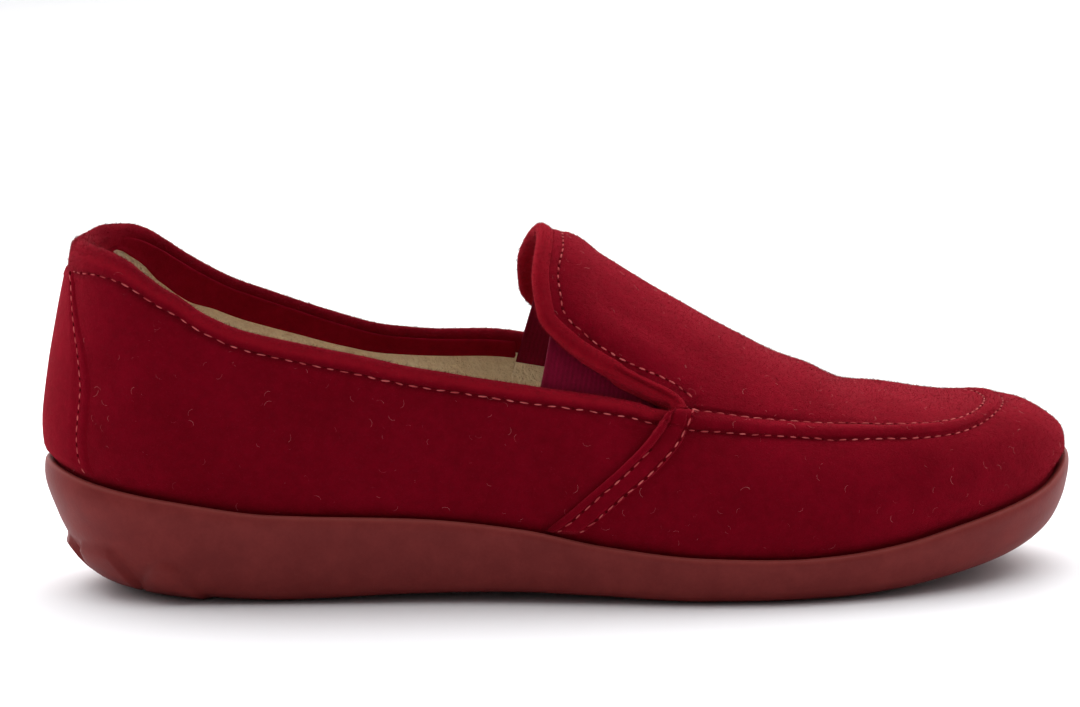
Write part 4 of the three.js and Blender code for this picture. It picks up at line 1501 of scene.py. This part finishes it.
for name, mesh, density, radius, seed in NAPS:
    values = {"Density": density, "Length": FIBRE, "Radius": radius, "Seed": seed}
    naps.append(grown(name, mesh, fuzz_of, fibre_red, **values))
fuzz = joined("felt_fuzz", naps)
lint = grown("lint", skin_mesh, lint_of, lint_pale, Density=24000.0, Radius=0.000034, Seed=6)
print("fuzz:", len(fuzz.data.polygons), "faces; lint:", len(lint.data.polygons), "faces")

# %% [markdown]
# ## Riding on the frame
# The shoe has no joint, so every piece rides on the one body. Each piece that stands for a CAD
# solid says so, and that solid is hidden.

# %% Name what each piece rides on and stands for
PIECES = [
    (felt_upper, "felt", ["upper"]),
    (flap_binding, "felt", ["flap_edge"]),
    (strip_outer, "felt", ["strip_lateral"]),
    (strip_inner, "felt", ["strip_medial"]),
    (heel_strip, "felt", ["backstay"]),
    (facing, "felt", []),
    (gore_outer, "elastic", ["gore_lateral"]),
    (gore_inner, "elastic", ["gore_medial"]),
    (fleece_sock, "fleece", ["insole"]),
    (unit_sole, "rubber", ["sole"]),
    (stitching, "felt", []),
    (stitch_hole_shade, "felt", []),
    (fuzz, "felt", []),
    (lint, "felt", []),
]
for made, slot_name, nodes in PIECES:
    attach(made, "root")
    if nodes:
        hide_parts(*nodes)
print(len(PIECES), "pieces ride on the shoe")

# %% [markdown]
# ## Floor, light and camera
# The photo is a plain studio shot: a white floor without a horizon that greys in one far corner,
# a broad soft light above and behind the shoe that leaves the near side in shade, and a long lens
# a little above the floor.

# %% Floor
def floor_finish():
    floor = Finish("white_floor")
    grain = floor.noise(60, 2)
    colour = floor.mix(grain, (0.82, 0.82, 0.83, 1), (0.84, 0.84, 0.85, 1))
    place = floor.node("SeparateXYZ", inputs={0: floor.place}).outputs
    away, across = Varying(floor, place["Y"]), Varying(floor, place["X"])
    shaded = (away - across * 1.6).between(0.9, 3.4)
    colour = floor.mix(shaded * 0.75, colour, (0.3, 0.3, 0.305, 1))
    return floor.surface(Base_Color=colour, Roughness=grain * 0.1 + 0.7, Specular_IOR_Level=0.2)


HALF_FLOOR = 7000.0
corners = [(x, y, 0) for x, y in ((-1, -1), (1, -1), (1, 1), (-1, 1))]
floor = piece("floor", np.array(corners) * HALF_FLOOR, [[0, 1, 2, 3]], [floor_finish()])

# %% Light
world = bpy.data.worlds.new("studio")
bpy.context.scene.world = world
world.use_nodes = True
sky = world.node_tree
SKY_FRONT, SKY_BACK = (0.2, 0.2, 0.205, 1), (2.2, 2.2, 2.23, 1)
SKY_LIFT, SKY_STARTS, SKY_FULL = 0.7, -0.1, 1.0


def sky_node(kind, settings=None, inputs=None):
    return add_node(sky, "ShaderNode" + kind, settings, inputs).outputs


way = sky_node("SeparateXYZ", inputs={0: sky_node("TexCoord")["Generated"]})
multiply_add = {"operation": "MULTIPLY_ADD"}
lifted = sky_node("Math", multiply_add, {0: way["Z"], 1: SKY_LIFT, 2: way["Y"]})[0]
smooth_step = {"interpolation_type": "SMOOTHSTEP"}
share = sky_node("MapRange", smooth_step, {0: lifted, 1: SKY_STARTS, 2: SKY_FULL})[0]
tone = sky_node("Mix", {"data_type": "RGBA"}, {0: share, 6: SKY_FRONT, 7: SKY_BACK})[2]
sky.links.new(tone, sky.nodes["Background"].inputs["Color"])
SUN_STRENGTH, SUN_SPREAD, SUN_WAY = 1.9, np.radians(90), (-0.12, -0.5, -1)
sun = bpy.data.lights.new("soft_sun", "SUN")
sun.energy, sun.angle = SUN_STRENGTH, SUN_SPREAD
soft_sun = bpy.data.objects.new("soft_sun", sun)
soft_sun.rotation_euler = Vector(SUN_WAY).to_track_quat("-Z", "Y").to_euler()
bpy.context.scene.collection.objects.link(soft_sun)
bpy.context.scene.view_settings.view_transform = "Standard"

# %% Camera: its angles, distance and lens follow the photo, whose frame is 1080 by 707
AZIMUTH, ELEVATION, AWAY = np.radians(6.2), np.radians(10.0), 0.85
PIVOT = Vector((0, 0, 0.04))
PHOTO_WIDE, PHOTO_HIGH = 1080, 707
PIXELS_PER_MM, PIVOT_PIXEL = 4.03, (567, 413)
level = np.array([np.sin(AZIMUTH), np.cos(AZIMUTH)]) * np.cos(ELEVATION)
look = Vector((*level, -np.sin(ELEVATION)))
lens = bpy.data.cameras.new("camera")
lens.sensor_width = 36
lens.lens = PIXELS_PER_MM / MM * AWAY * lens.sensor_width / PHOTO_WIDE
lens.shift_x = (PHOTO_WIDE / 2 - PIVOT_PIXEL[0]) / PHOTO_WIDE
lens.shift_y = (PIVOT_PIXEL[1] - PHOTO_HIGH / 2) / PHOTO_WIDE
lens.clip_start, lens.clip_end = 0.05, 30
camera = bpy.data.objects.new("camera", lens)
camera.location = PIVOT - look * AWAY
camera.rotation_mode = "QUATERNION"
camera.rotation_quaternion = look.to_track_quat("-Z", "Y")
bpy.context.scene.collection.objects.link(camera)
bpy.context.scene.camera = camera
print("lens:", round(lens.lens, 1), "mm")
